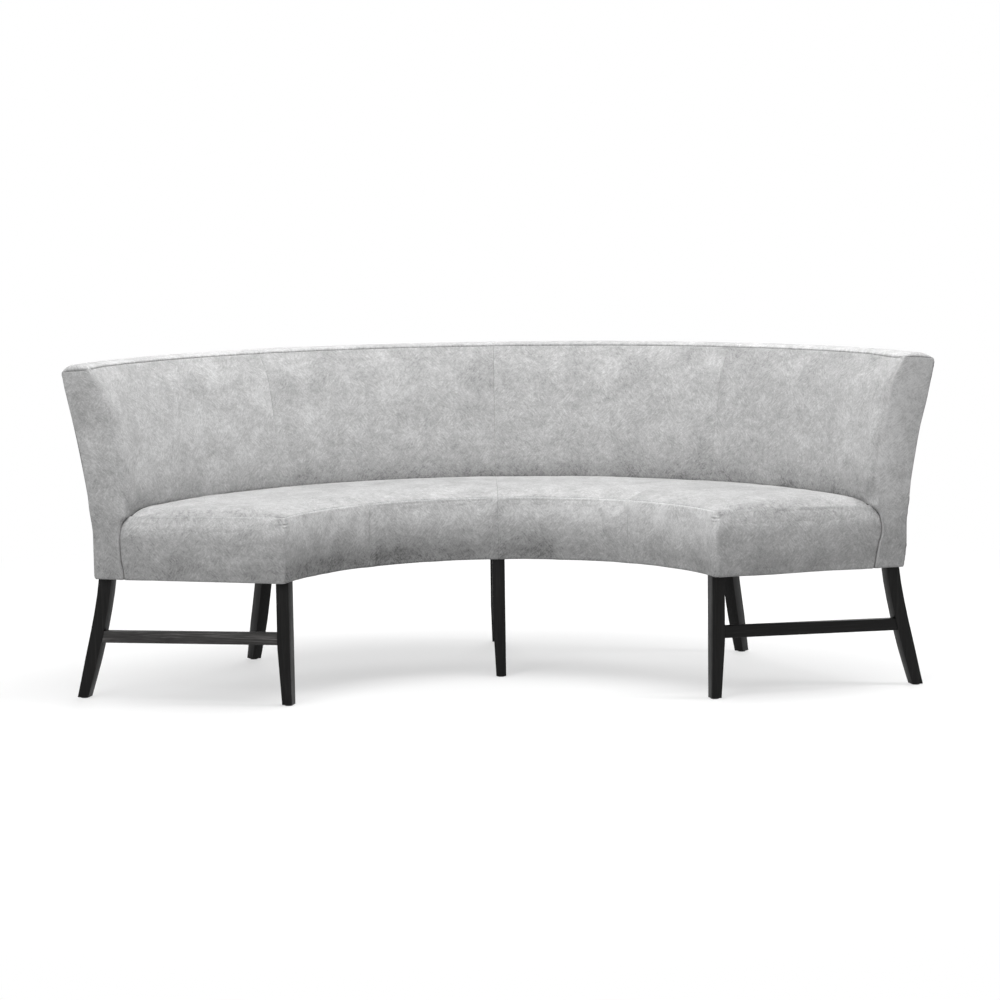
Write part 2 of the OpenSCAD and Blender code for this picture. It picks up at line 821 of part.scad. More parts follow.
seat_board(1, 0, seam_angle);  // seat_board_right
seat_board(1, seam_angle, half_angle);  // seat_board_right_end
dust_cover();
seat_foam();
front_padding();
seat_end_pad(-1);  // seat_end_pad_left
seat_end_pad(1);  // seat_end_pad_right
seat_cover(-1, seam_angle, half_angle);  // seat_cover_left_end
seat_cover(-1, 0, seam_angle);  // seat_cover_left
seat_cover(1, 0, seam_angle);  // seat_cover_right
seat_cover(1, seam_angle, half_angle);  // seat_cover_right_end
boxing(-1, seam_angle, half_angle);  // boxing_left_end
boxing(-1, 0, seam_angle);  // boxing_left
boxing(1, 0, seam_angle);  // boxing_right
boxing(1, seam_angle, half_angle);  // boxing_right_end
top_rail(-1);  // top_rail_left
top_rail(1);  // top_rail_right
back_end_board(-1);  // back_end_board_left
back_end_board(1);  // back_end_board_right
inner_back_panel();
outer_back_panel();
back_foam();
top_foam();
back_end_pad(-1);  // back_end_pad_left
back_end_pad(1);  // back_end_pad_right
back_cover(-1, seam_angle, half_angle);  // back_cover_left_end
back_cover(-1, 0, seam_angle);  // back_cover_left
back_cover(1, 0, seam_angle);  // back_cover_right
back_cover(1, seam_angle, half_angle);  // back_cover_right_end
top_band();
outer_back_cover();
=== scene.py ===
# %% [markdown]
# # A curved upholstered bench
# The bench is an arc of about 147 degrees round a table. Its seat and its leaning back are covered in
# light grey velvet, sewn from four panels each, and it stands on eight dark tapered legs. The wooden parts
# come from the CAD frame and only get eased edges and a finish here. The covers are made new, because a
# padded cover has soft seams, rolled edges and small unevennesses that a rigid solid doesn't have.

# %% Load the frame
import json
import math

import bpy
import numpy
from mathutils import Matrix, Vector, noise

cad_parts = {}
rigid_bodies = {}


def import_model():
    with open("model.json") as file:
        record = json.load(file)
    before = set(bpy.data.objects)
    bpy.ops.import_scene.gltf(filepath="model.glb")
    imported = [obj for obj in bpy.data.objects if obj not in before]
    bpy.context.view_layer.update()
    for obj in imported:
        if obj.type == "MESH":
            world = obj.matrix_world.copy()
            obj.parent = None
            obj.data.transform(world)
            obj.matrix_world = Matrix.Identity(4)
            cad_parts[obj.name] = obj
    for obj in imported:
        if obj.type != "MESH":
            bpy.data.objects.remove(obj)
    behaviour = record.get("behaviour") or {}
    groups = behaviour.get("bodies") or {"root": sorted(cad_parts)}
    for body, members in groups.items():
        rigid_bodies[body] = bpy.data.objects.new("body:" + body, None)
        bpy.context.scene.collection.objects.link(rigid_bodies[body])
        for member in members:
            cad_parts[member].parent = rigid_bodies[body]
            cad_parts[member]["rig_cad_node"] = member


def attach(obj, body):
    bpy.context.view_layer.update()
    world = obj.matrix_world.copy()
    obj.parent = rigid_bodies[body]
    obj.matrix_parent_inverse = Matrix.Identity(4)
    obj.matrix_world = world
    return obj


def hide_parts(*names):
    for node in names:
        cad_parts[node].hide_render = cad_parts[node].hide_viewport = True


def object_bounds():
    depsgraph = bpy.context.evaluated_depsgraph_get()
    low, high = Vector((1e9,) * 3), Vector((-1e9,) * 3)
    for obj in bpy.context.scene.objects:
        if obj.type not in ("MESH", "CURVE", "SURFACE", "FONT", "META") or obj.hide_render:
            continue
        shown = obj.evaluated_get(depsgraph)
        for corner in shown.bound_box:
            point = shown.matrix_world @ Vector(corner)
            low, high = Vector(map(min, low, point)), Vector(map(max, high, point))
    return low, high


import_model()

cad_low, cad_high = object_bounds()
CAD_BOX = [list(cad_low), list(cad_high)]
bpy.ops.object.select_all(action="DESELECT")
print("size of the frame in metres:", [round(h - l, 3) for l, h in zip(*CAD_BOX)])

# %% [markdown]
# The whole bench is turned about one upright axis, so it is easiest to place a point by its distance from
# that axis, its angle from the middle of the bench, and its height. The two flat end faces have a frame of
# their own: `along` runs out along the end face, and `out` points out of it. All sizes are in metres.

# %% Main sizes and the two ways to place a point
HALF = math.radians(147.3 / 2)
QUARTER = HALF / 2
FRONT_R, CREASE_R, BASE_R, TOP_R = 0.566, 0.993, 1.0915, 1.168
UNDERSIDE, KNEE, SEAT_SEAM, CREASE_Z, SEAT_TOP = 0.320, 0.440, 0.488, 0.500, 0.507
LEAN_TOP, BACK_SEAM, BACK_TOP = 0.861, 0.8633, 0.874
AXIS_Y = CAD_BOX[1][1] - TOP_R
SIDES = ((-1, "left"), (1, "right"))


def on_arc(radius, angle, height):
    return Vector((radius * math.sin(angle), radius * math.cos(angle) + AXIS_Y, height))


def on_end(out, along, height):
    return on_arc(math.hypot(out, along), HALF + math.atan2(out, along), height)


def polar(p):
    """The way back: a point's distance from the axis and its angle from the middle."""
    return math.hypot(p.x, p.y - AXIS_Y), math.atan2(p.x, p.y - AXIS_Y)


def end_distance(radius, angle):
    """How far a point lies inside the nearer end face."""
    return radius * math.sin(HALF - abs(angle))


print("axis of the arc at y =", round(AXIS_Y, 4), "top outer corner", on_end(0, TOP_R, BACK_TOP))

# %% [markdown]
# The back leans away from the sitter in a gentle curve and rolls over just below its top seam. The outside
# leans too, but only from the knee upwards. Both are simple powers of the height, like the lines that an
# upholsterer gets by bending a board. The two ends aren't quite alike, as on any bench stuffed by hand.

# %% Curves of the back
FACE_LEAN, FACE_ROLL, ROLL_START = 0.065, 0.025, 0.780
OUTER_LEAN, OUTER_LEAN_TOP = 0.0765, 0.864
FULLER_LOW, FULLER_HIGH = 0.0068, 0.0040
HOLLOW = {-1: 0.0038, 1: 0.0033}
LOWER_ROUNDING, ROUNDING_SHARE = 0.014, 0.3


def share(value, low, high):
    return min(1.0, max(0.0, (value - low) / (high - low)))


def smooth(value, low=0.0, high=1.0):
    t = share(value, low, high)
    return t * t * (3 - 2 * t)


def quarter_round(t):
    """From 0, where a rounding starts level, to 1, where it has turned by a right angle."""
    return 1 - math.sqrt(max(0.0, 1 - t * t))


def back_radius(z):
    lean = FACE_LEAN * max(0.0, (z - CREASE_Z) / (LEAN_TOP - CREASE_Z)) ** 1.5
    return CREASE_R + lean + FACE_ROLL * max(0.0, (z - ROLL_START) / (LEAN_TOP - ROLL_START)) ** 1.6


def fuller(z, angle):
    """The right end was stuffed a little fuller than the left one, on its outside."""
    extra = FULLER_LOW * smooth(z, 0.320, 0.385) + FULLER_HIGH * smooth(z, 0.660, 0.760)
    return extra * smooth(angle, 0.35 * HALF, HALF)


def drawn_in(z, angle):
    """How far the outside is pulled in at its ends, past the last of the boards under it. The left end
    also turns in a little at its foot."""
    at_end = smooth(abs(angle), HALF - 0.0115, HALF - 0.0010)
    hollow = HOLLOW[-1 if angle < 0 else 1] * smooth(z, 0.485, 0.560) * (1 - smooth(z, 0.650, 0.810))
    turned_in = share(UNDERSIDE + LOWER_ROUNDING - z, 0.0, LOWER_ROUNDING) if angle < 0 else 0.0
    return at_end * (hollow + ROUNDING_SHARE * LOWER_ROUNDING * quarter_round(turned_in))


def outer_radius(z, angle=0.0):
    lean = OUTER_LEAN * max(0.0, (z - KNEE) / (OUTER_LEAN_TOP - KNEE)) ** 1.15
    return BASE_R + lean + fuller(z, angle) - drawn_in(z, angle)


# Where the seat's end face meets the back's, by height, at the left and the right end: the full seat
# pushes the crease outwards, and it was stuffed a little fuller at the right.
CREASE_HEIGHTS = (
    0.320, 0.333, 0.348, 0.362, 0.371, 0.390, 0.404, 0.419, 0.433, 0.446, 0.457, 0.467, 0.475, 0.483,
)
CREASE_LINES = {
    -1: (1.0072, 1.0076, 1.0099, 1.0125, 1.0139, 1.0152, 1.0158, 1.0161, 1.0156, 1.0145, 1.0133, 1.0110,
         1.0062, 0.9980),
    1: (1.0058, 1.0085, 1.0114, 1.0140, 1.0160, 1.0205, 1.0248, 1.0278, 1.0267, 1.0250, 1.0236, 1.0204,
        1.0137, 1.0048),
}


def crease_along(side, z):
    """Distance of the crease along the end face, by straight lines between the known heights."""
    line = list(zip(CREASE_HEIGHTS, CREASE_LINES[side]))
    for (z0, a0), (z1, a1) in zip(line, line[1:]):
        if z <= z1:
            return a0 if z <= z0 else a0 + (a1 - a0) * (z - z0) / (z1 - z0)
    return line[-1][1]


def crease_push(side, from_end):
    """How far the crease lies outside its circle, near an end."""
    return (crease_along(side, SEAT_SEAM) - CREASE_R) * (1 - smooth(from_end, 0.023, 0.110))


print("radius at the back's seam", round(back_radius(BACK_SEAM), 4), "outside", round(outer_radius(0.85), 4))

# %% [markdown]
# Every cover is made as a grid of points that follows the fabric: columns run round the arc, rows run up
# the profile. The spacing is fine near a seam, where the fabric dips sharply, and wide in the middle. A
# grid is better here than a remeshed lump, because the seams stay crisp and the pattern of the nap can
# follow the grid.

# %% Spacing of the grid
STEP = 0.0075
EDGE_STEPS = [0.0, 0.0008, 0.0018, 0.0031, 0.0049, 0.0075, 0.0115, 0.0165]


def spread(length, step=STEP, start=True, end=True):
    """Shares from 0 to 1 along a length, close together next to a seam; without one, 0 is left out."""
    low = EDGE_STEPS if start else [0.0]
    high = [length - d for d in reversed(EDGE_STEPS)] if end else [length]
    gap = high[0] - low[-1]
    count = max(1, round(gap / step))
    middle = [low[-1] + gap * i / count for i in range(1, count)]
    return [d / length for d in (low if start else []) + middle + high]


def even(count, skip_first=False):
    return [i / count for i in range(1 if skip_first else 0, count + 1)]


print("columns over a quarter of the back:", len(spread(QUARTER * CREASE_R)))

# %% [markdown]
# A cover starts as a plain surface. Three things make it cloth over foam: it dips where it is sewn, it
# stands a little proud between its seams, and it is never quite even, because hands have pulled it over
# the filling. These helpers measure a grid and give the dip next to a seam.

# %% Normals, faces, lengths and dips
def grid_normals(grid, outward):
    rows, columns = len(grid), len(grid[0])

    def there(j, i):
        return 0 <= j < rows and 0 <= i < columns and grid[j][i] is not None

    normals = [[None] * columns for _ in range(rows)]
    for j in range(rows):
        for i in range(columns):
            if there(j, i):
                across = grid[j][i + there(j, i + 1)] - grid[j][i - there(j, i - 1)]
                up = grid[j + there(j + 1, i)][i] - grid[j - there(j - 1, i)][i]
                normals[j][i] = across.cross(up).normalized()
    if normals[rows * 2 // 3][columns // 2].dot(outward) < 0:
        normals = [[None if n is None else -n for n in row] for row in normals]
    return normals


def outward_faces(index, points, normals, rows, columns):
    """Quads between the given lines of a grid, where all four corners exist."""
    faces = []
    for j0, j1 in zip(rows, rows[1:]):
        for i0, i1 in zip(columns, columns[1:]):
            corners = [(j0, i0), (j0, i1), (j1, i1), (j1, i0)]
            if all(c in index for c in corners):
                face = [index[c] for c in corners]
                a, b, c, d = [points[k] for k in face]
                if (c - a).cross(d - b).dot(normals[j0][i0]) < 0:
                    face.reverse()
                faces.append(face)
    return faces


def rim(faces):
    """Edges that only one face uses."""
    used = dict.fromkeys(edge for face in faces for edge in zip(face, face[1:] + face[:1]))
    return [(a, b) for a, b in used if (b, a) not in used]


def lengths_along(points):
    """Distance of each point of a line from its first one; places without a point get None."""
    total, last, result = 0.0, None, []
    for p in points:
        if p is not None and last is not None:
            total += (p - last).length
        result.append(None if p is None else total)
        last = p if p is not None else last
    return result, total


def dip(distance, depth, width):
    """Depth of the fabric below its plain surface next to a seam, round like a pulled stitch line."""
    return depth * quarter_round(1 - distance / width) if distance < width else 0.0


def fabric_lengths(grid):
    """Lengths along the middle row and along the first whole column: the cover's own ruler."""
    across, _ = lengths_along(grid[len(grid) // 2])
    known = 0.0
    for k, value in enumerate(across):
        known = across[k] = known if value is None else value
    whole = next(k for k in range(len(grid[0])) if all(row[k] is not None for row in grid))
    up, _ = lengths_along([row[whole] for row in grid])
    return across, up


print("helpers for the grids are ready")

# %% [markdown]
# Foam under a tight cover pushes it out most in the middle of a panel and not at all along its seams, and
# the cloth answers with a soft, uneven swell. A cloth simulation gives just that. It runs on a coarse copy
# of each panel with its seams pinned and air pressure behind it, which takes a second or so, and the way
# that each point moved is then read back on to the fine grid. The fine seams would be lost if the whole
# pad went through the simulation.

# %% Swelling a cover with cloth and pressure
COARSE = 0.013
FRAMES = 20
PRESSURE = 4.0
SHRINK = -0.004


def kept_lines(lengths, needed=()):
    """Indices of the lines that the coarse copy keeps, about COARSE apart."""
    kept = [0]
    for k, d in enumerate(lengths):
        room = d - lengths[kept[-1]] >= COARSE and lengths[-1] - d >= COARSE / 2
        if k and (room or k in needed):
            kept.append(k)
    return kept + [len(lengths) - 1]


def spline_weights(lengths, kept):
    """Matrix that spreads the values of the kept lines over all lines, as a smooth spline."""
    weights = numpy.zeros((len(lengths), len(kept)))
    knots = [lengths[k] for k in kept]
    for row, d in enumerate(lengths):
        k = max(0, min(len(knots) - 2, sum(x <= d for x in knots) - 1))
        t = (d - knots[k]) / (knots[k + 1] - knots[k])
        basis = ((1 - t) ** 3, 3 * t ** 3 - 6 * t * t + 4, 1 + 3 * t + 3 * t * t - 3 * t ** 3, t ** 3)
        for step, value in zip((-1, 0, 1, 2), basis):
            weights[row, max(0, min(len(knots) - 1, k + step))] += value / 6
    return weights


def swell(name, grid, normals, cap, needed=()):
    """Height of every point of the grid over its plain surface once the cover is filled."""
    across, up = fabric_lengths(grid)
    columns, rows = kept_lines(across, needed), kept_lines(up)
    places = [(j, i) for j in rows for i in columns if grid[j][i] is not None]
    index = {place: k for k, place in enumerate(places)}
    points = [grid[j][i] for j, i in places]
    faces = outward_faces(index, points, normals, rows, columns)
    held = {k for edge in rim(faces) for k in edge}
    held |= {k for (j, i), k in index.items() if i in needed}
    mesh = bpy.data.meshes.new("filling")
    mesh.from_pydata([tuple(p) for p in points], [], faces)
    cover = bpy.data.objects.new("filling", mesh)
    bpy.context.collection.objects.link(cover)
    cover.vertex_groups.new(name="seams").add(sorted(held), 1.0, "REPLACE")
    cloth = cover.modifiers.new("cloth", "CLOTH")
    cloth.settings.vertex_group_mass = "seams"
    cloth.settings.use_pressure = True
    cloth.settings.uniform_pressure_force = PRESSURE
    cloth.settings.effector_weights.gravity = 0.0
    cloth.settings.shrink_min = SHRINK
    cloth.point_cache.frame_end = FRAMES
    for frame_number in range(1, FRAMES + 1):
        bpy.context.scene.frame_set(frame_number)
    moved = cover.evaluated_get(bpy.context.evaluated_depsgraph_get()).to_mesh()
    rises = [(moved.vertices[k].co - points[k]).dot(normals[j][i]) for k, (j, i) in enumerate(places)]
    most = max(rises)
    heights = numpy.zeros((len(rows), len(columns)))
    for (j, i), rise in zip(places, rises):
        heights[rows.index(j), columns.index(i)] = cap * math.tanh(1.5 * rise / most)
    bpy.data.objects.remove(cover)
    bpy.data.meshes.remove(mesh)
    bpy.context.scene.frame_set(1)
    print(name, "swells by", round(1000 * most, 1), "mm before the cap of", round(1000 * cap, 1))
    return spline_weights(up, rows) @ heights @ spline_weights(across, columns).T


# %% [markdown]
# The next helper adds dips, unevenness and swell along the surface's own normals, and then closes the piece
# with an inner face, so that it is a solid pad. It also stores two things for the finish: where each point
# lies on the cloth, and how much painted light or shade the velvet gets there.

# %% From a grid of points to a closed pad
CALM, TIGHT = 0.045, 0.012
CREASE_DIP, CREASE_CALM, CREASE_SHARE = (0.0009, 0.0034), 0.03, 0.4
BIG_WAVES, SMALL_WAVES, SMALL_SHARE = 5.5, 21, 0.35
SMOOTH_ANGLE = math.radians(60)
pads = []


def waves(u, v, scale, seed):
    return noise.noise(Vector((u * scale, v * scale, seed)))


def make_pad(name, grid, outward, seams, thickness, unwrap, seed, lift=0.0, uneven=0.0012, extra=None,
             inner=None, creases=(), cap=0.0, pressed=None):
    """Turns a grid into a closed pad. seams gives the depth and width of the dip at the start and end of
    the rows and at their low and high side, and if it fades, how much of it is left at a point. creases
    are columns with a seam inside the pad. cap is the most that the filling swells it. The last argument
    gives the light and shade painted into the velvet at a point: 1 is dark painted shade, and below 0 it
    is painted light."""
    rows, columns = range(len(grid)), range(len(grid[0]))
    normals = grid_normals(grid, outward)
    along_row = [lengths_along(row) for row in grid]
    along_column = [lengths_along([row[i] for row in grid]) for i in columns]
    swollen = swell(name, grid, normals, cap, creases) if cap else numpy.zeros((len(rows), len(columns)))
    plain = [(j, i) for j in rows for i in columns if grid[j][i] is not None]
    outer, under, uv = [], [], []
    for j, i in plain:
        p, n = grid[j][i], normals[j][i]
        row, row_length = along_row[j]
        column, column_length = along_column[i]
        distances = {
            "start": row[i], "end": row_length - row[i], "low": column[j], "high": column_length - column[j],
        }
        u, v = unwrap(i, j, p)
        stitch = (1 + 0.25 * waves(u, v, 90, seed + 0.5)) * (1 + 0.5 * waves(u, v, 9, seed + 3.5))
        move, room, edge = 0.0, 1.0, 1.0
        for side, (depth, width, *fading) in seams.items():
            left = fading[0](p) if fading else 1.0
            move -= dip(distances[side], depth * stitch * left, width)
            room *= 1 - left + left * smooth(distances[side], 0.0, CALM)
            edge *= smooth(distances[side], 0.0, TIGHT)
        for c in creases:
            if grid[j][c] is not None:
                near = abs(row[i] - row[c])
                move -= dip(near, CREASE_DIP[0] * stitch, CREASE_DIP[1])
                room *= CREASE_SHARE + (1 - CREASE_SHARE) * smooth(near, 0.0, CREASE_CALM)
                edge *= smooth(near, 0.0, TIGHT)
        hands = waves(u, v, BIG_WAVES, seed) + SMALL_SHARE * waves(u, v, SMALL_WAVES, seed + 7)
        move += room * (lift + uneven * hands) + edge * float(swollen[j, i])
        if extra:
            move += extra(i, j, p)
        outer.append(p + n * move)
        under.append(inner(i, j, p) if inner else p - n * thickness)
        uv.append((u, v))
    count = len(outer)
    faces = outward_faces({place: k for k, place in enumerate(plain)}, outer, normals, rows, columns)
    shell = faces + [[k + count for k in reversed(face)] for face in faces]
    shell += [[b, a, a + count, b + count] for a, b in rim(faces)]
    mesh = bpy.data.meshes.new("sewn_" + name)
    mesh.from_pydata([tuple(p) for p in outer + under], [], shell)
    layer = mesh.uv_layers.new(name="fabric")
    for loop in mesh.loops:
        layer.data[loop.index].uv = uv[loop.vertex_index % count]
    # painted light and shade for the velvet, stored on every point of the pad
    flat = mesh.attributes.new("pressed", "FLOAT", "POINT")
    flat.data.foreach_set("value", [pressed(p) if pressed else 0.0 for p in outer] * 2)
    mesh.update()
    pad = bpy.data.objects.new("sewn_" + name, mesh)
    bpy.context.collection.objects.link(pad)
    bpy.ops.object.select_all(action="DESELECT")
    pad.select_set(True)
    bpy.context.view_layer.objects.active = pad
    bpy.ops.object.shade_smooth_by_angle(angle=SMOOTH_ANGLE)
    pads.append(pad)
    return pad


def panels(grid_of, first_seed):
    """The four panels of a cover: the side, 1 at the end of the bench or else 0, name, grid and seed."""
    for side, word in SIDES:
        for k, suffix in ((0, ""), (1, "_end")):
            grid = grid_of(k * QUARTER, HALF if k else QUARTER, side)
            if side < 0:
                grid = [[None if p is None else Vector((-p.x, p.y, p.z)) for p in row] for row in grid]
            yield side, k, word + suffix, grid, first_seed + 10 * k + 3 * side


print("pads made so far:", len(pads))

# %% [markdown]
# The velvet's tone gets painted light and shade: painted shade in the crease, at the foot, along the seams
# and round the upper corners, and painted light and shade on the end faces and on either side. These
# functions give that for each kind of cover. Their heights are those of the crease, the shoulder and the lean.

# %% Painted light and shade on the velvet
def on_end_face(p):
    """1 on the flat end faces and 0 away from them."""
    return 1 - smooth(end_distance(*polar(p)), 0.001, 0.007)


def painted_shade_low(p):
    """Painted shade towards the lower edge, less of it on the end faces."""
    return 0.8 * smooth(0.435 - p.z, 0.0, 0.110) * (1 - 0.75 * on_end_face(p))


def painted_shading_back(p):
    """Painted shade deep in the crease, at the foot and near the top of the face, and painted light on the
    left part and at mid height of the face. On the end faces: painted light, and at the left end painted
    shade low down and near the top.
    """
    z, at_end = p.z, on_end_face(p)
    on_face = smooth(back_radius(max(z, CREASE_Z)) + 0.014 - polar(p)[0], 0.0, 0.010)
    # flat is painted shade where it is above 0 and painted light where it is below 0
    flat = max(painted_shade_low(p), 0.66 * (1 - smooth(z, 0.500, 0.575)) * on_face)
    flat += (0.30 * smooth(z, 0.740, 0.850) - 0.30 * smooth(-p.x, 0.40, 0.95)) * on_face
    flat -= 0.15 * smooth(z, 0.540, 0.640) * (1 - smooth(z, 0.700, 0.800)) * on_face
    # end faces: painted light at the right end, painted light and shade at the left end
    if p.x > 0:
        return flat - 0.85 * at_end * smooth(z, 0.400, 0.560)
    low_dark = 0.20 * (1 - smooth(z, 0.440, 0.560))
    return flat + at_end * (low_dark + 0.34 * smooth(z, 0.640, 0.820) - 0.50 * smooth(z, 0.480, 0.600))


def painted_shading_seat(p):
    """A little darker all over, and painted shade near the crease and towards the ends."""
    radius, angle = polar(p)
    near_crease = 0.35 * smooth(radius, CREASE_R - 0.035, CREASE_R)
    return 0.20 + near_crease + 0.30 * (1 - smooth(end_distance(radius, angle), 0.015, 0.085))


def painted_shading_boxing(p):
    """Painted shade at the foot, low on the left part, along the seam, round the upper corner and on the left
    end face; painted light on the shoulder and on the right part of the front."""
    radius, angle = polar(p)
    at_end = on_end_face(p)
    past_front = smooth(radius - FRONT_R, 0.008, 0.022) * smooth(abs(angle), 0.9 * HALF, 0.95 * HALF)
    painted_light = 0.55 * smooth(p.z, 0.385, 0.455) + 0.42 * smooth(angle, 0.05, 0.50)
    painted_shade_low_left = 0.40 * smooth(-angle, 0.05, 0.50) * smooth(0.400 - p.z, 0.0, 0.060)
    from_corner = math.hypot(end_distance(radius, angle) - 0.018, radius - FRONT_R - 0.010)
    # painted shade along the seam and round the upper corner
    at_seam = 0.35 * smooth(p.z, 0.452, 0.482)
    at_seam += 0.85 * smooth(p.z, 0.455, 0.474) * (1 - smooth(from_corner, 0.005, 0.024))
    left_end = 0.22 * at_end if p.x < 0 else 0.0
    return painted_shade_low(p) + (painted_shade_low_left - painted_light) * (1 - max(at_end, past_front)) + at_seam + left_end


# prints the painted shade in the middle of the crease
print("pile in the middle of the crease:", round(painted_shading_back(on_arc(CREASE_R, 0.1, CREASE_Z)), 2))

# %% [markdown]
# The boxing is the strip round the seat's front. At the end of the bench it turns the corner and runs
# along the end face to the crease. Its top draws in over the foam as a soft shoulder, and its bottom turns
# under the rail. A row of the grid is one height with its set-back, so the same row serves the curved
# front, the rounded corner and the flat end.

# %% Rows that wrap round the end
SHOULDER, END_SHOULDER = 0.046, 0.072
HALF_GAP = 0.00012
FOOT_Z = 0.3275
UNDER_TURN = [(0.3200, 0.0052), (0.3201, 0.0038), (0.3209, 0.0022), (0.3224, 0.0010), (0.3246, 0.0003)]
# Distances below the seam: close together where the corner's small folds are
FINE_ROWS = [0.0390, 0.0345, 0.0310, 0.0285, 0.0262, 0.0240, 0.0218, 0.0196, 0.0174, 0.0152, 0.0130,
             0.0108, 0.0086, 0.0066, 0.0049, 0.0031, 0.0018, 0.0008, 0.0]


def shoulder_inset(z, size):
    """How far the cover has drawn in at a height, on its way over the foam's rounded edge."""
    return size - math.sqrt(size ** 2 - max(0.0, z - SEAT_TOP + size) ** 2)


SEAM_INSET, END_INSET = shoulder_inset(SEAT_SEAM, SHOULDER), shoulder_inset(SEAT_SEAM, END_SHOULDER)


def wrapped_row(z, front_inset, inset, radius, rounding, first_angle, far, tail, columns):
    """Points at one height: round the arc, over the upright corner and along the end face."""
    radius += front_inset
    reach = radius + rounding
    tangent = math.asin((inset + rounding) / reach)
    centre = math.sqrt(reach ** 2 - (inset + rounding) ** 2)
    last = HALF - tangent
    points = [on_arc(radius, first_angle + t * (last - first_angle), z) for t in columns["arc"]]
    for t in columns["corner"]:
        turn = tangent + t * (math.pi / 2 - tangent)
        out, along = rounding * math.sin(turn), centre - rounding * math.cos(turn)
        points.append(on_end(-inset - rounding + out, along, z))
    for t in columns["face"]:
        points.append(on_end(-inset, centre + t * (far - tail - centre), z))
    for t in columns["tail"]:
        turn = t * math.pi / 2
        points.append(on_end(-inset - tail + tail * math.cos(turn), far - tail + tail * math.sin(turn), z))
    return points


def boxing_rows():
    """Height, inset on the front and inset on the end face of each row."""
    low = SEAT_SEAM - FINE_ROWS[0] - 0.0060
    heights = [FOOT_Z + t * (low - FOOT_Z) for t in even(18)] + [SEAT_SEAM - d for d in FINE_ROWS]
    under = [(z, inset, inset) for z, inset in UNDER_TURN]
    return under + [(z, shoulder_inset(z, SHOULDER), shoulder_inset(z, END_SHOULDER)) for z in heights]


def seat_end_height(along):
    """Height of the seam on the end face, which sinks a little towards the crease."""
    return SEAT_SEAM - 0.005 * share(along, FRONT_R, CREASE_R) ** 3


print("rows of the boxing:", len(boxing_rows()), "inset of its seam", round(SEAM_INSET, 4))

# %% [markdown]
# Each side of the bench has a middle panel and an end panel. Both are built for the right side, and mirrored
# for the left one. Where an end panel turns the upper corner, the cloth was pulled tight and lies in short
# folds, one above another.

# %% Boxing
CORNER_ROUNDING = {-1: 0.009, 1: 0.015}
REAR_ROUNDING, REAR_FOOT_ROUNDING = 0.009, 0.0060
CREASE_CLEAR = 0.00005
SEAM_DIP = (0.0024, 0.0044)
SIDE_SEAM_DIP = (0.0007, 0.0030)
FOLDS_BELOW, FOLDS_OUT = 0.017, 0.003
FOLDS = (0.0015, 0.012, 0.0083)
BOXING_WALL = 0.0016


def puckers(corner, size, reach, pitch, seed):
    """Short folds, one above another, where a cover was pulled tight round a corner."""
    def fold(i, j, p):
        away = p - corner
        sideways = math.hypot(away.x, away.y)
        if max(sideways, abs(away.z)) > 3 * reach:
            return 0.0
        bend = 2.4 * noise.noise(Vector((sideways * 45, away.z * 30, seed)))
        wave = math.sin(2 * math.pi * away.z / pitch + bend)
        return size * wave * math.exp(-(sideways / reach) ** 2 - (away.z / reach) ** 2)
    return fold


def boxing_grid(first_angle, last_angle, side):
    at_end = last_angle >= HALF
    columns = {
        "arc": spread((last_angle - first_angle) * FRONT_R, end=not at_end), "corner": even(7, True),
        "face": spread(0.42, start=False, end=False), "tail": even(6, True),
    }
    first = first_angle + HALF_GAP / FRONT_R
    grid = []
    for z, inset, end_inset in boxing_rows():
        if not at_end:
            last = last_angle - HALF_GAP / FRONT_R
            grid.append([on_arc(FRONT_R + inset, first + t * (last - first), z) for t in columns["arc"]])
            continue
        sink = share(z, UNDERSIDE, SEAT_SEAM)
        sunk = z + sink * (seat_end_height(CREASE_R) - SEAT_SEAM)
        far = crease_along(side, sunk) - CREASE_CLEAR
        tail = REAR_FOOT_ROUNDING + (REAR_ROUNDING - REAR_FOOT_ROUNDING) * smooth(z, 0.435, 0.480)
        row = wrapped_row(
            z, inset, end_inset, FRONT_R, CORNER_ROUNDING[side], first, far, tail, columns,
        )
        for p in row[len(columns["arc"]):]:
            p.z += sink * (seat_end_height(polar(p)[0]) - SEAT_SEAM)
        grid.append(row)
    return grid


def strip_unwrap(grid, across_shift, up_shift):
    """Fabric coordinates of a grid: its two rulers, shifted so that no two panels show the same cloth."""
    across, up = fabric_lengths(grid)
    return lambda i, j, p: (across[i] + across_shift, up[j] + up_shift)


def past_corner(p):
    """1 on the curved front, and less and less of it along the end face."""
    return 1 - 0.88 * smooth(polar(p)[0] - FRONT_R, 0.012, 0.060)


height = SEAT_SEAM - FOLDS_BELOW
for side, k, name, grid, seed in panels(boxing_grid, 11):
    corner = on_end(
        -shoulder_inset(height, END_SHOULDER) - FOLDS_OUT,
        FRONT_R + shoulder_inset(height, SHOULDER) + FOLDS_OUT, height,
    )
    corner.x *= side
    seams = {"start": SIDE_SEAM_DIP, "end": SIDE_SEAM_DIP, "high": SEAM_DIP}
    if k:
        seams.update(end=(0.0, 0.003), high=(*SEAM_DIP, past_corner))
    make_pad(
        "boxing_" + name, grid, Vector((0.3 * side * k, -1, 0)), seams, BOXING_WALL,
        strip_unwrap(grid, seed * 0.71, seed * 0.37), seed, lift=-0.0004, uneven=0.0013,
        cap=0.0060 if k else 0.0085, pressed=painted_shading_boxing,
        extra=puckers(corner, *FOLDS, seed) if k else None,
    )
print("boxing panels:", [p.name for p in pads])

# %% [markdown]
# The seat cover is crowned: highest a little in front of its middle, down to the seam at the front and to
# the crease at the back, and it rolls down to the end faces. It is a whole cushion here, flat underneath
# where the foam rests on its board. At the rear it tucks down into the crease.

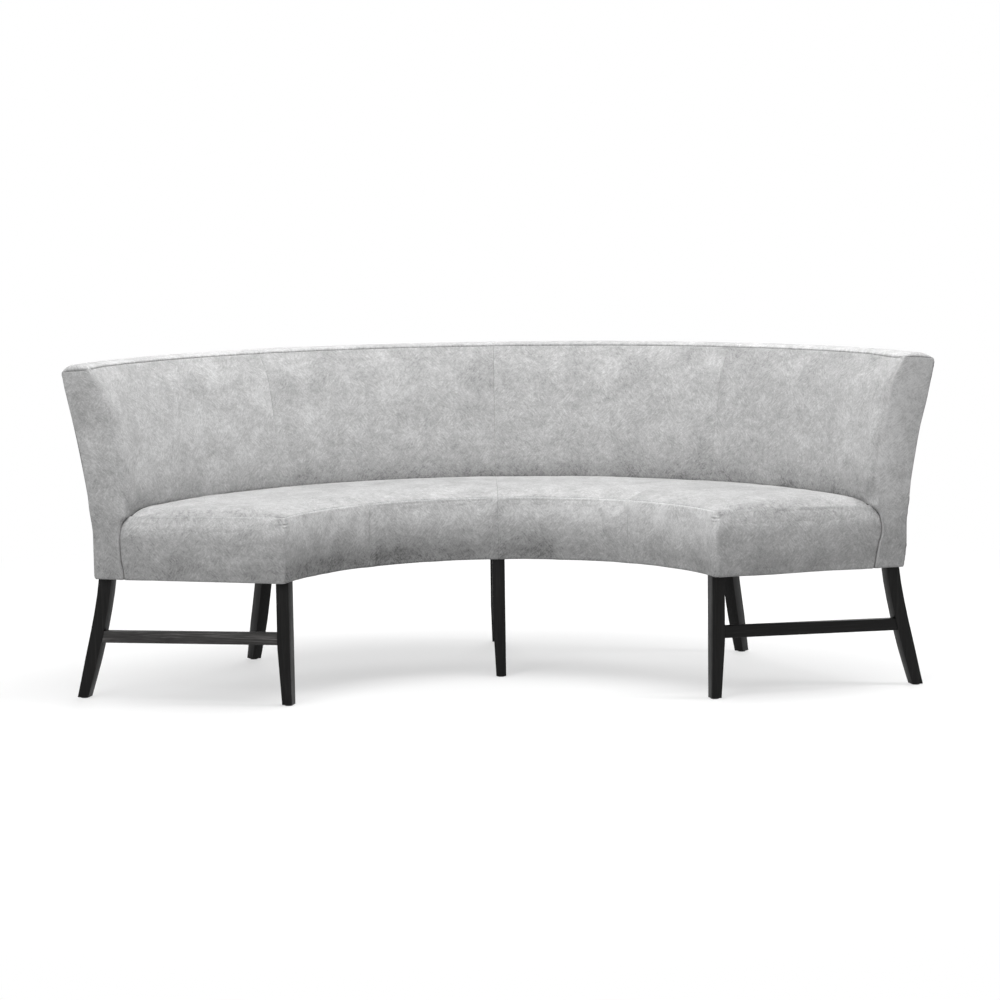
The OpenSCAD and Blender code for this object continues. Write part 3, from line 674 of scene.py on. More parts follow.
# %% Seat cushions
FOAM_BOTTOM = 0.4303
SEAT_FRONT = FRONT_R + SEAM_INSET
CREASE_GAP, END_GAP = 0.0030, 0.0006
TUCK = 0.010
ROLL_ZONE, REAR_WIDENING = 0.12, 0.042
CROWN_AT, REAR_FALL = 0.45, 0.007
FOAM_INSIDE = (0.0085, 0.0035, 0.0135)


def crown(t):
    """Height of the cover from its front seam, at 0, to the crease, at 1."""
    if t < CROWN_AT:
        return SEAT_TOP - (SEAT_TOP - SEAT_SEAM) * (1 - t / CROWN_AT) ** 3.6
    return SEAT_TOP - REAR_FALL * ((t - CROWN_AT) / (1 - CROWN_AT)) ** 3.5


def rounded(a, b, size):
    """Moves a point near a square corner on to the rounded one; a and b are its distances from the edges."""
    if a >= size or b >= size:
        return a, b
    x, y = size - a, size - b
    scale = max(x, y) / max(1e-9, math.hypot(x, y))
    return size - x * scale, size - y * scale


def seat_point(share_in, tucked, fall, angle, from_end, side):
    """Point of the seat's cover. share_in runs from the front seam to where the cover tucks down into the
    crease, tucked and fall follow the tuck. from_end is the distance from the end seam, or None."""
    if from_end is None:
        span = CREASE_R - CREASE_GAP - SEAT_FRONT
        depth = share_in * (span - TUCK) + tucked
        return on_arc(SEAT_FRONT + depth, angle, crown(depth / span) - fall)
    gap = END_GAP + (CREASE_GAP - END_GAP) * smooth(from_end, 0.0, 0.080)
    span = CREASE_R - gap + crease_push(side, from_end + END_INSET) - SEAT_FRONT
    a, b = rounded(share_in * (span - TUCK) + tucked, from_end, CORNER_ROUNDING[side])
    if span - a < REAR_ROUNDING:
        c, b = rounded(span - a, b, REAR_ROUNDING)
        a = span - c
    t = a / span
    width = END_SHOULDER + REAR_WIDENING * t * t - END_INSET
    most = 1 - END_INSET / END_SHOULDER
    roll = quarter_round(most * share(width - b, 0.0, width)) / quarter_round(most)
    top = crown(t)
    radius = SEAT_FRONT + a
    height = top - (top - seat_end_height(radius)) * roll - fall
    return on_arc(radius, HALF - math.asin((END_INSET + b) / radius), height)


def seat_grid(first_angle, last_angle, side):
    at_end = last_angle >= HALF
    rows = [(t, 0.0, 0.0) for t in spread(0.41, end=False)]
    for t in even(6, True):
        turn = t * math.pi / 2
        rows.append((1.0, TUCK * math.sin(turn), TUCK * (1 - math.cos(turn))))
    rows += [(1.0, TUCK, TUCK + 0.005), (1.0, TUCK, TUCK + 0.010)]
    arc = spread((last_angle - first_angle) * 0.78, end=not at_end)
    roll = spread(ROLL_ZONE, 0.005, start=False)
    grid = []
    for share_in, tucked, fall in rows:
        radius = SEAT_FRONT + share_in * (CREASE_R - CREASE_GAP - TUCK - SEAT_FRONT) + tucked
        first, last = first_angle + HALF_GAP / radius, last_angle - HALF_GAP / radius
        if at_end:
            last = HALF - math.asin((END_INSET + ROLL_ZONE) / radius)
            inward = [radius * math.sin(HALF - first - t * (last - first)) - END_INSET for t in arc]
            places = [(0, d) for d in inward + [ROLL_ZONE * (1 - t) for t in roll]]
        else:
            places = [(first + t * (last - first), None) for t in arc]
        grid.append([seat_point(share_in, tucked, fall, angle, d, side) for angle, d in places])
    return grid


def flat_below(i, j, p):
    """Foot of the cushion under a point of its cover, a little inside its edge."""
    front, rear, end = FOAM_INSIDE
    radius, angle = polar(p)
    radius = min(max(radius, FRONT_R + front), CREASE_R - rear)
    limit = HALF - math.asin(end / radius)
    return on_arc(radius, max(-limit, min(limit, angle)), FOAM_BOTTOM)


def turned_unwrap(turn, seed):
    """Fabric coordinates of a seat cover from above, with the middle of its panel turned to the front."""
    def unwrap(i, j, p):
        x, y = p.x, p.y - AXIS_Y
        return (x * math.cos(turn) - y * math.sin(turn) + seed * 0.31,
                x * math.sin(turn) + y * math.cos(turn) + seed * 0.17)
    return unwrap


for side, k, name, grid, seed in panels(seat_grid, 53):
    end_seam = (*SEAM_DIP, past_corner) if k else SIDE_SEAM_DIP
    make_pad(
        "seat_cover_" + name, grid, Vector((0, 0, 1)),
        {"start": SIDE_SEAM_DIP, "end": end_seam, "low": SEAM_DIP}, 0.0,
        turned_unwrap(side * (k + 0.5) * QUARTER, seed), seed, lift=-0.0012, uneven=0.0018,
        inner=flat_below, cap=0.0045, pressed=painted_shading_seat,
    )
print("seat cushions:", [p.name for p in pads[-4:]])

# %% [markdown]
# The back's four panels run from the crease to the top seam. The end ones roll softly round the upright
# corner on to the end face, without a seam there, and run down beside the seat to the underside. So their
# grid has the shape of an L: below the crease only the part on the end face is left.

# %% Back cushions
BACK_FOOT, FACE_START, BACK_EDGE = 0.4385, 0.5105, 0.005
BAND_FOOT, BENDS_FROM = 0.846, 0.80
BAND_INNER, BAND_OUTER = back_radius(BACK_SEAM), outer_radius(BAND_FOOT)
BAND_MIDDLE = (BAND_INNER + BAND_OUTER) / 2
INNER_CROWN, OUTER_CROWN = 2.6, 2.2
END_ROLL = 0.016
END_SEAM = {-1: 0.8597, 1: 0.8650}
END_SEAM_SLOPE = 0.0062
TOP_SEAM_DIP = (0.0006, 0.0026)
PAD_WALL = 0.0070
TUCK_HEIGHT, TUCK_DEPTH = 0.016, 0.005
TOP_FOLDS, TOP_FOLDS_BELOW = (0.0007, 0.014, 0.0095), 0.014


def corner_rounding(z):
    """Radius of the upright corner: sharp beside the seat, soft above it, and firmer again at the top."""
    return 0.0065 + 0.0155 * smooth(z, 0.450, 0.540) - 0.011 * smooth(z, 0.700, 0.861)


def end_front(side, z):
    """Where the back's end face starts, along the end face."""
    if z < SEAT_SEAM:
        return crease_along(side, z) + CREASE_CLEAR
    low = crease_along(side, SEAT_SEAM) + CREASE_CLEAR
    return low + (back_radius(max(z, CREASE_Z)) - low) * smooth(z, SEAT_SEAM, 0.565)


def face_radius(z):
    """Radius of the back cushion's face, which tucks in below the crease."""
    return back_radius(max(z, CREASE_Z)) + TUCK_DEPTH * quarter_round(share(SEAT_TOP - z, 0.0, TUCK_HEIGHT))


def band_shape(radius):
    """Height of the top band's cover over its two seams."""
    if radius < BAND_MIDDLE:
        t = share(BAND_MIDDLE - radius, 0.0, BAND_MIDDLE - BAND_INNER)
        return BACK_SEAM + (BACK_TOP - BACK_SEAM) * (1 - t ** INNER_CROWN) ** (1 / INNER_CROWN)
    t = share(radius, BAND_MIDDLE, BAND_OUTER)
    return BAND_FOOT + (BACK_TOP - BAND_FOOT) * (1 - t ** OUTER_CROWN) ** (1 / OUTER_CROWN)


def plain_radius(radius, angle):
    """Radius on the evenly stuffed band of a point on the real one, whose right end is fuller."""
    if radius < BAND_MIDDLE:
        return radius
    stretch = 1 + fuller(BACK_SEAM, angle) / (BAND_OUTER - BAND_MIDDLE)
    return BAND_MIDDLE + (radius - BAND_MIDDLE) / stretch


def end_drop(radius, z, from_end, side):
    """How far the band has rolled down over its end, where a sloping seam closes it, and how its inner
    seam sinks: at the left right up to the end, at the right in a long hollow before it."""
    if side > 0:
        sink = 0.0038 * smooth(from_end, 0.004, 0.035) * (1 - smooth(from_end, 0.050, 0.210))
    else:
        sink = 0.0022 * (1 - smooth(from_end, 0.0, 0.090))
    sink *= share(BACK_TOP - z, 0.0, BACK_TOP - BACK_SEAM) if radius < BAND_MIDDLE else 0.0
    seam = END_SEAM[1 if side > 0 else -1] - END_SEAM_SLOPE * share(radius, BAND_INNER, BAND_OUTER)
    return sink + max(0.0, z - seam - sink) * quarter_round(1 - share(from_end, 0.0, END_ROLL))


def back_grid(first_angle, last_angle, side):
    at_end = last_angle >= HALF
    low = [FOOT_Z + t * (BACK_FOOT - FOOT_Z) for t in even(16)]
    high = [BACK_FOOT + t * (FACE_START - BACK_FOOT) for t in even(20)]
    high += [FACE_START + t * (BACK_SEAM - FACE_START) for t in spread(BACK_SEAM - FACE_START, start=False)]
    arc = spread((last_angle - first_angle) * 1.03, end=not at_end)
    first, last = first_angle + HALF_GAP, last_angle - HALF_GAP
    if not at_end:
        return [[on_arc(face_radius(z), first + t * (last - first), z) for t in arc] for z in high]
    face = spread(0.08, start=False, end=False)
    columns = {"arc": arc, "corner": even(9, True), "face": face, "tail": even(4, True)}
    grid = []
    for z, inset in UNDER_TURN + [(z, 0.0) for z in low[:-1] + high]:
        bent = share(z, BENDS_FROM, BACK_SEAM) ** 2
        row = wrapped_row(
            z, inset, inset, end_front(side, z), corner_rounding(z), first,
            outer_radius(z + bent * (BAND_FOOT - BACK_SEAM), side * HALF) - inset, BACK_EDGE, columns,
        )
        for k, p in enumerate(row):
            if k < len(arc) and z < BACK_FOOT:
                row[k] = None
                continue
            radius, angle = polar(p)
            from_end = end_distance(radius, angle)
            if k < len(arc):
                pushed = 1 - smooth(from_end, corner_rounding(z), 0.110)
                radius = face_radius(z) + (radius - face_radius(z)) * pushed
            plain = plain_radius(radius, side * HALF)
            top = band_shape(plain)
            top -= end_drop(plain, top, from_end, side) + 0.0002
            row[k] = on_arc(radius, angle, z + bent * (top - BACK_SEAM))
        grid.append(row)
    return grid


def inside_back(side):
    """The inner side of an end panel: the same shape drawn in a little on every side."""
    def inner(i, j, p):
        radius, angle = polar(p)
        front = face_radius(p.z) if p.z > BACK_FOOT else crease_along(side, p.z)
        back = outer_radius(p.z, side * HALF)
        radius = front + PAD_WALL + share(radius, front, back) * (back - front - 2 * PAD_WALL)
        from_end = end_distance(radius, angle)
        from_end += PAD_WALL * (1 - smooth(from_end, 0.0, 0.05))
        angle = math.copysign(HALF - math.asin(from_end / radius), angle)
        top = share(p.z, UNDERSIDE, BACK_TOP)
        return on_arc(radius, angle, UNDERSIDE + 0.004 + top * (BACK_TOP - UNDERSIDE - 0.011))
    return inner


def end_details(corner, side, seed):
    """Puckers at the top corner, and the folded edge that stands up along the low part of the crease."""
    folds = puckers(corner, *TOP_FOLDS, seed)

    def details(i, j, p):
        from_crease = polar(p)[0] - crease_along(side, p.z)
        fold = 0.0016 * math.exp(-((from_crease - 0.0052) / 0.0024) ** 2)
        return folds(i, j, p) + fold * smooth(0.455 - p.z, 0.0, 0.04) * smooth(p.z, 0.325, 0.36)
    return details


for side, k, name, grid, seed in panels(back_grid, 97):
    corner = on_end(-FOLDS_OUT, back_radius(BACK_SEAM) + FOLDS_OUT, BACK_SEAM - TOP_FOLDS_BELOW)
    corner.x *= side
    seams = {"start": SIDE_SEAM_DIP, "high": TOP_SEAM_DIP}
    if not k:
        seams["end"] = SIDE_SEAM_DIP
    make_pad(
        "back_cover_" + name, grid, Vector((-0.3 * side, -1, 0.1)), seams, PAD_WALL,
        strip_unwrap(grid, seed * 0.43, seed * 0.23), seed, lift=-0.0006, uneven=0.0018, cap=0.0045,
        extra=end_details(corner, side, seed) if k else None, inner=inside_back(side) if k else None,
        pressed=painted_shading_back,
    )
print("back cushions:", [p.name for p in pads[-4:]])

# %% [markdown]
# The band over the top is one long strip with a light crown. Its inner seam is the dark line that shows
# along the top of the back, and a short seam crosses each end. The outer back closes the bench behind.

# %% Top band and outer back
BAND_R, OUTER_R = 1.125, 1.12
BAND_WALL = 0.0045
CLOSE_COLUMNS = (0.0004, 0.0015, 0.0030, 0.0048, 0.0068, 0.0090, 0.0115, 0.0142)
OUTER_TURN = [(0.3200, 0.0042), (0.3201, 0.0030), (0.3209, 0.0018), (0.3224, 0.0008), (0.3246, 0.0002)]


def arc_columns(radius, step=STEP):
    """Angles over the whole arc with close columns at the middle and quarter seams."""
    angles, creases = [], []
    for k in range(4):
        shares = spread(QUARTER * radius, step)
        start = -HALF + k * QUARTER
        angles += [start + t * QUARTER for t in (shares if k == 0 else shares[1:])]
        creases.append(len(angles) - 1)
    return angles, creases[:3]


def end_limit(angle, radius, inset):
    """Angle on the arc, kept a little inside the two end faces."""
    limit = HALF - math.asin(inset / radius)
    return max(-limit, min(limit, angle))


def arc_unwrap(radius, across_shift, up_shift, upright=False):
    """Fabric coordinates of a strip round the arc, which lies flat or stands upright."""
    def unwrap(i, j, p):
        distance, angle = polar(p)
        return angle * radius + across_shift, (p.z if upright else distance) + up_shift
    return unwrap


def band_profile():
    """Radius and height of the points across the band, from its inner seam to its outer one."""
    points = []
    for t in even(14):
        turn = math.radians(3) + t * math.radians(87)
        x, y = math.cos(turn) ** (2 / INNER_CROWN), math.sin(turn) ** (2 / INNER_CROWN)
        points.append((BAND_MIDDLE - x * (BAND_MIDDLE - BAND_INNER), BACK_SEAM + y * (BACK_TOP - BACK_SEAM)))
    points[0] = (BAND_INNER, BACK_SEAM)
    for t in even(14, True):
        turn = t * math.radians(84)
        x, y = math.sin(turn) ** (2 / OUTER_CROWN), math.cos(turn) ** (2 / OUTER_CROWN)
        points.append((BAND_MIDDLE + x * (BAND_OUTER - BAND_MIDDLE), BAND_FOOT + (BACK_TOP - BAND_FOOT) * y))
    return points


def band_point(radius, z, angle):
    """Point of the band: its two corners at each end are rounded, and its right end is fuller."""
    a, b = rounded(radius - BAND_INNER, end_distance(radius, angle), corner_rounding(BACK_SEAM))
    c, b = rounded(BAND_OUTER - BAND_INNER - a, b, BACK_EDGE)
    place = BAND_OUTER - c
    turned = (HALF - math.asin((b + 0.0002) / place)) * (1 if angle > 0 else -1)
    full = fuller(BACK_SEAM, turned) * share(place, BAND_MIDDLE, BAND_OUTER)
    return on_arc(place + full, turned, z - end_drop(place, z, b, angle))


def under_band(i, j, p):
    """The band's inner side, well inside its edges all round."""
    radius, angle = polar(p)
    radius = min(max(radius, BAND_INNER + 0.004), BAND_OUTER - 0.004)
    return on_arc(radius, end_limit(angle, radius, BAND_WALL), p.z - BAND_WALL)


angles, _ = arc_columns(BAND_R)
close = [d / BAND_R for d in CLOSE_COLUMNS]
angles = [a for a in angles if abs(a) < HALF - END_ROLL] + [HALF - d for d in close] + [d - HALF for d in close]
angles.sort()
creases = [min(range(len(angles)), key=lambda k: abs(angles[k] - a)) for a in (-QUARTER, 0.0, QUARTER)]
make_pad(
    "top_band", [[band_point(radius, z, angle) for angle in angles] for radius, z in band_profile()],
    Vector((0, 0, 1)),
    {"start": (0.0004, 0.0022), "end": (0.0003, 0.0020), "low": TOP_SEAM_DIP, "high": (0.0003, 0.0022)},
    0.0, arc_unwrap(BAND_R, 3.3, 5.1), 171, lift=-0.0004, uneven=0.0009, creases=creases, inner=under_band,
    cap=0.0008,
)

OUTER_TOP = band_profile()[-1][1] - 0.0004
angles, creases = arc_columns(OUTER_R, 0.012)
grid = []
for z, inset in OUTER_TURN + [
    (FOOT_Z + t * (OUTER_TOP - FOOT_Z), 0.0) for t in [0.0] + spread(OUTER_TOP - FOOT_Z, 0.012, start=False)
]:
    limits = [end_limit(a, outer_radius(z, a), BACK_EDGE + 0.0002) for a in angles]
    grid.append([on_arc(outer_radius(z, a) - inset, limit, z) for a, limit in zip(angles, limits)])
# the outer back gets painted shade towards its foot
make_pad(
    "outer_back_cover", grid, Vector((0, 1, 0)),
    {"start": (0.0008, 0.003), "end": (0.0008, 0.003), "high": (0.0003, 0.0022)}, 0.0015,
    arc_unwrap(OUTER_R, 8.3, 2.1, upright=True), 191, uneven=0.0008, creases=creases, pressed=painted_shade_low,
)
print("pads:", len(pads), "faces:", sum(len(p.data.polygons) for p in pads))

# %% [markdown]
# Black cloth is stapled under the frame to keep dust in and eyes out. It is one piece, cut as an arc with a
# notch for each leg, and it sags a few millimetres between the rails. The notches come from the legs
# themselves: their outline just under the seat is measured, and the grid gets lines along its edges.

# %% Dust cover
SHEET_IN, SHEET_OUT, SHEET_END = FRONT_R + 0.0060, BASE_R - 0.0045, 0.0075
SHEET_Z, SAG, LEG_ROOM, TINY = 0.3206, 0.0035, 0.0015, 0.0001
NEAR_SHEET = (0.27, 0.36)
LEGS = ["front_leg_left", "front_leg_centre", "front_leg_right", "rear_leg_left_end", "rear_leg_left",
        "rear_leg_centre", "rear_leg_right", "rear_leg_right_end"]


def leg_outline(node):
    """Radii and angles between which a leg passes the dust cover, with a little room."""
    places = [v.co for v in bpy.data.objects[node].data.vertices]
    near = [polar(p) for p in places if NEAR_SHEET[0] < p.z < NEAR_SHEET[1]]
    radii, angles = zip(*near)
    inner, outer = min(radii) - LEG_ROOM, max(radii) + LEG_ROOM
    room = LEG_ROOM / max(radii)
    return inner, outer, min(angles) - room, max(angles) + room


def lines_with(low, high, step, needed):
    """Even lines from low to high, with more at the needed places and between each pair of them."""
    lines = [low + t * (high - low) for t in even(max(2, round((high - low) / step)))]
    for a, b in needed:
        a, b = max(a, low), min(b, high)
        lines = [x for x in lines if not a - step / 3 < x < b + step / 3 or x in (low, high)]
        lines += [a, (a + b) / 2, b]
    return sorted(set(lines))


outlines = [leg_outline(node) for node in LEGS]
end_angle = HALF - math.asin(SHEET_END / 0.9)
radii = lines_with(
    SHEET_IN, SHEET_OUT, 0.014, sorted({(round(a, 5), round(b, 5)) for a, b, c, d in outlines}),
)
turns = lines_with(
    -end_angle, end_angle, 0.016, sorted({(round(c, 6), round(d, 6)) for a, b, c, d in outlines}),
)


def notched(radius, angle):
    for a, b, c, d in outlines:
        inside = (a <= SHEET_IN or radius > a + TINY) and (b >= SHEET_OUT or radius < b - TINY)
        across = (c <= -end_angle or angle > c + TINY) and (d >= end_angle or angle < d - TINY)
        if inside and across and a < radius < b and c < angle < d:
            return True
    return False


def sheet_point(radius, angle):
    hang = math.sin(math.pi * share(radius, SHEET_IN, SHEET_OUT)) ** 1.5
    hang *= smooth(end_angle - abs(angle), 0.0, 0.12) * (0.75 + 0.25 * math.cos(angle * 9))
    return on_arc(radius, angle, SHEET_Z - SAG * hang)


dust_cover = make_pad(
    "dust_cover", [[None if notched(r, turn) else sheet_point(r, turn) for turn in turns] for r in radii],
    Vector((0, 0, -1)), {}, 0.0008, arc_unwrap(0.83, 2.7, 6.4), 211, uneven=0.0004,
)
pads.remove(dust_cover)
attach(dust_cover, "root")
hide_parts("dust_cover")

# %% [markdown]
# Each cover stands for the plain solid of the same name in the frame, and for the foam or padding under it.
# Those stay in the physics model, and only hide here.

# %% Stand-ins of the covers
FILLINGS = {
    "boxing": ["front_padding"], "seat_cover": ["seat_foam"], "back_cover": ["back_foam"],
    "top_band": ["top_foam"], "outer_back": [],
}
END_PADS = {"boxing": "seat_end_pad_", "back_cover": "back_end_pad_"}
for pad in pads:
    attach(pad, "root")
    name = pad.name.removeprefix("sewn_")
    kind = next(k for k in FILLINGS if name.startswith(k))
    nodes = [name] + FILLINGS[kind]
    if name.endswith("_end") and kind in END_PADS:
        nodes.append(END_PADS[kind] + name.split("_")[-2])
    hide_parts(*nodes)
print("covers that stand for CAD nodes:", len(pads))

# %% [markdown]
# The camera stands where the photograph's camera stood. Its place, turn and lens were worked out from
# points on the seat's edge, the crease, the top and the feet, whose places on the bench are known.

# %% Camera
PITCH, PAN, ROLL = math.radians(6.5), math.radians(0.78), math.radians(-0.78)
SENSOR, FOCAL_SHARE = 36.0, 2651.06 / 1000
forward = Vector((math.sin(PAN) * math.cos(PITCH), math.cos(PAN) * math.cos(PITCH), -math.sin(PITCH)))
right = Vector((math.cos(PAN), -math.sin(PAN), 0.0))
upward = right.cross(forward)
right, upward = (
    right * math.cos(ROLL) + upward * math.sin(ROLL),
    upward * math.cos(ROLL) - right * math.sin(ROLL),
)
place = Vector((-0.08949, -6.47144 + AXIS_Y, 1.28265))
camera = bpy.data.objects.new("camera", bpy.data.cameras.new("camera"))
camera.data.sensor_width = SENSOR
camera.data.lens = FOCAL_SHARE * SENSOR
camera.data.clip_end = 60
camera.matrix_world = Matrix((
    (right.x, upward.x, -forward.x, place.x),
    (right.y, upward.y, -forward.y, place.y),
    (right.z, upward.z, -forward.z, place.z),
    (0, 0, 0, 1),
))
bpy.context.collection.objects.link(camera)
bpy.context.scene.camera = camera
print("lens", round(camera.data.lens, 2), "mm")

# %% [markdown]
# The finishes are node materials. A few helpers keep them short: one adds a node with its properties and
# inputs, others add a sum, a noise that reads the piece's own coordinates, or a colour ramp.

# %% Helpers for the finishes
class Nodes:
    """The nodes of a material or a world, and short ways to add to them."""

    def __init__(self, owner):
        owner.use_nodes = True
        self.nodes, self.links = owner.node_tree.nodes, owner.node_tree.links

    def fill(self, socket, value):
        """Gives a socket a constant, or links another node's output to it."""
        if isinstance(value, bpy.types.NodeSocket):
            self.links.new(value, socket)
        else:
            socket.default_value = value

    def add(self, kind, properties, inputs):
        node = self.nodes.new("ShaderNode" + kind)
        for name, value in properties.items():
            setattr(node, name, value)
        for name, value in inputs.items():
            self.fill(node.inputs[name], value)
        return node

    def sum(self, operation, a, b=0.0, clamp=False):
        return self.add("Math", {"operation": operation, "use_clamp": clamp}, {0: a, 1: b}).outputs[0]


class Finish(Nodes):
    """A material whose patterns lie on the piece's own coordinates."""

    def __init__(self, name, coordinates):
        self.material = bpy.data.materials.new(name)
        super().__init__(self.material)
        self.shader = self.nodes["Principled BSDF"]
        if coordinates == "Object":
            self.place = self.add("TexCoord", {}, {}).outputs["Object"]
        else:
            self.place = self.add("UVMap", {"uv_map": coordinates}, {}).outputs["UV"]

    def placed(self, scale=(1, 1, 1), turn=(0, 0, 0)):
        """The coordinates turned first and then stretched, so that a grain follows the turn."""
        turned = self.add("Mapping", {}, {"Rotation": turn, "Vector": self.place})
        return self.add("Mapping", {}, {"Scale": scale, "Vector": turned.outputs[0]}).outputs[0]

    def noise(self, scale, detail=4.0, rough=0.55, distortion=0.0, vector=None):
        return self.add("TexNoise", {}, {
            "Scale": scale, "Detail": detail, "Roughness": rough, "Distortion": distortion,
            "Vector": vector or self.place,
        }).outputs["Fac"]

    def mix(self, factor, a, b):
        return self.add("Mix", {"data_type": "RGBA"}, {"Factor": factor, "A": a, "B": b}).outputs["Result"]

    def ramp(self, value, *stops):
        """Colour of a value from 0 to 1; a stop is its place and its grey, or its place and a colour."""
        node = self.add("ValToRGB", {}, {"Fac": value})
        elements = node.color_ramp.elements
        while len(elements) < len(stops):
            elements.new(0.5)
        for element, (at, colour) in zip(elements, stops):
            element.position = at
            element.color = (*colour, 1) if isinstance(colour, tuple) else (colour, colour, colour, 1)
        return node.outputs["Color"]

    def spread(self, value, low, high):
        """Stretches the values between low and high to the whole range from 0 to 1."""
        return self.add("MapRange", {}, {"Value": value, "From Min": low, "From Max": high}).outputs["Result"]

    def blend(self, *layers):
        """Sum of patterns, each with its weight."""
        total = None
        for layer, weight in layers:
            part = self.sum("MULTIPLY", layer, weight)
            total = part if total is None else self.sum("ADD", total, part)
        return total

    def bump(self, height, distance, strength):
        node = self.add("Bump", {}, {"Distance": distance, "Strength": strength, "Height": height})
        self.links.new(node.outputs["Normal"], self.shader.inputs["Normal"])

    def finish(self, colour, roughness, **sockets):
        self.fill(self.shader.inputs["Base Color"], colour)
        self.fill(self.shader.inputs["Roughness"], roughness)
        for name, value in sockets.items():
            self.shader.inputs[name.replace("_", " ")].default_value = value
        return self.material


print("finishes are made with the helpers of", Finish.__name__)

# %% [markdown]
# The velvet is light grey with a crushed, cloudy look. Its short pile lies in many directions: broad patches
# of a few centimetres, smaller mottles in them, and fine hair-like streaks where the pile leans one way or
# the other. Each layer is a noise on the cover's own fabric coordinates, which are in metres, so it keeps
# its scale and turns with the cloth. A sheen on the shader makes the pile glow where one looks along it.

# %% Velvet
HAIR_SCALE = (85, 240, 1)
# the first scales the painted light and shade stored on the covers; the second darkens the whole velvet evenly
PAINTED_SHADING_SHARE, WORN = 0.27, 0.15


def streaks(finish, turn):
    """Hair-like marks of leaning pile, about four millimetres wide and three times as long."""
    hairs = finish.noise(1.0, 3.0, 0.6, 0.35, finish.placed(HAIR_SCALE, (0, 0, turn)))
    return finish.spread(hairs, 0.34, 0.66)


def velvet_finish():
    f = Finish("velvet", "fabric")
    panel = f.noise(0.9, 0.0)
    clouds = f.spread(f.noise(12.0, 4.0, 0.60, 0.5), 0.30, 0.70)
    mottles = f.spread(f.noise(55.0, 5.0, 0.75, 0.3), 0.30, 0.70)
    grain = f.spread(f.noise(250.0, 3.0, 0.75), 0.30, 0.70)
    side = f.spread(f.noise(15.0, 2.0), 0.44, 0.56)
    hair = f.mix(side, streaks(f, math.radians(52)), streaks(f, math.radians(-48)))
    tone = f.blend((panel, 0.30), (clouds, 0.24), (mottles, 0.27), (hair, 0.24), (grain, 0.23))
    # the painted light and shade on the covers darkens or lightens the velvet's tone
    pressed = f.add("Attribute", {"attribute_name": "pressed"}, {}).outputs["Fac"]
    tone_and_painted_shade = f.sum("ADD", WORN, f.sum("MULTIPLY", pressed, PAINTED_SHADING_SHARE))
    tone = f.sum("SUBTRACT", tone, tone_and_painted_shade, clamp=True)
    colour = f.ramp(tone, (0.0, 0.15), (0.21, 0.31), (0.50, 0.47), (0.79, 0.67), (1.0, 0.78))
    f.bump(f.blend((hair, 0.6), (grain, 0.4)), 0.0006, 0.4)
    return f.finish(
        colour, 0.92, Specular_IOR_Level=0.25, Sheen_Weight=0.35, Sheen_Roughness=0.35,
    )


velvet = velvet_finish()
for pad in pads:
    pad.data.materials.append(velvet)
print("velvet on", len(pads), "covers")

# %% [markdown]
# The legs and the rails between them are beech, stained almost black, with the grain just showing and
# edges eased by sanding, which catch a fine line of light. The CAD meshes have sharp edges, so each leg gets
# a Weld and a Bevel modifier. The grain runs along the piece: up the legs, and from front to back along the
# stretchers, so these have a turned copy of the same finish. The left copy is much lighter, the right a little
# darker.

# %% Stained wood
WOOD_TINT = (1.02, 0.99, 0.97)
WOOD_GREYS = ((0.34, 0.0024), (0.52, 0.0065), (0.70, 0.0190))
# how much lighter each stretcher's copy of the finish is made
STRETCHER_LIGHTNESS = {-1: 9.5, 1: 0.9}
LEG_EASE, STRETCHER_EASE = 0.0018, 0.0015


def stained_wood(name, turn, grain, lighter=1.0):
    f = Finish(name, "Object")
    vector = f.placed(grain, turn)
    fibres = f.noise(1.0, 6.0, 0.65, 0.5, vector)
    pores = f.noise(4.0, 3.0, 0.6, 0.2, vector)
    wear = f.noise(14.0, 4.0, 0.6)
    tone = f.blend((fibres, 0.65), (pores, 0.35))
    colour = f.ramp(tone, *[(at, tuple(grey * lighter * c for c in WOOD_TINT)) for at, grey in WOOD_GREYS])
    rough = f.sum("ADD", 0.34, f.sum("MULTIPLY", wear, 0.20))
    f.bump(tone, 0.0004, 0.35)
    return f.finish(colour, rough, Specular_IOR_Level=0.15)


def dress(node, finish):
    """Gives a CAD node its finish in place of the plain one."""
    shown = bpy.data.objects[node]
    if not shown.material_slots:
        shown.data.materials.append(finish)
    for slot in shown.material_slots:
        slot.material = finish


def ease_edges(node, width):
    """Rounds the edges of a CAD node, whose mesh is loose triangles, with live modifiers."""
    shown = bpy.data.objects[node]
    weld = shown.modifiers.new("weld", "WELD")
    weld.merge_threshold = 0.00001
    bevel = shown.modifiers.new("eased_edges", "BEVEL")
    bevel.width = width
    bevel.segments = 3
    bevel.limit_method = "ANGLE"
    bevel.angle_limit = math.radians(32)
    bevel.harden_normals = True
    shown.data.polygons.foreach_set("use_smooth", [True] * len(shown.data.polygons))


upright = stained_wood("stained_wood_upright", (0, 0, 0), (110, 110, 4.5))
for node in LEGS:
    dress(node, upright)
    ease_edges(node, LEG_EASE)
for side, word in SIDES:
    turn = (0, 0, side * (HALF - math.pi / 2))
    dress("stretcher_" + word, stained_wood(
        "stained_wood_" + word, turn, (4.5, 110, 110), STRETCHER_LIGHTNESS[side]))
    ease_edges("stretcher_" + word, STRETCHER_EASE)
print("stained:", len(LEGS), "legs and two stretchers")

# %% [markdown]
# Most of the frame is hidden inside the bench, but it is there, so it gets its finish too: pale beech rails
# with a fine fleck, plywood boards and panels, zinc-plated screws, nylon glides, and the open foam and
# padding under the covers. The black cloth underneath is non-woven, with a fine pressed pattern.

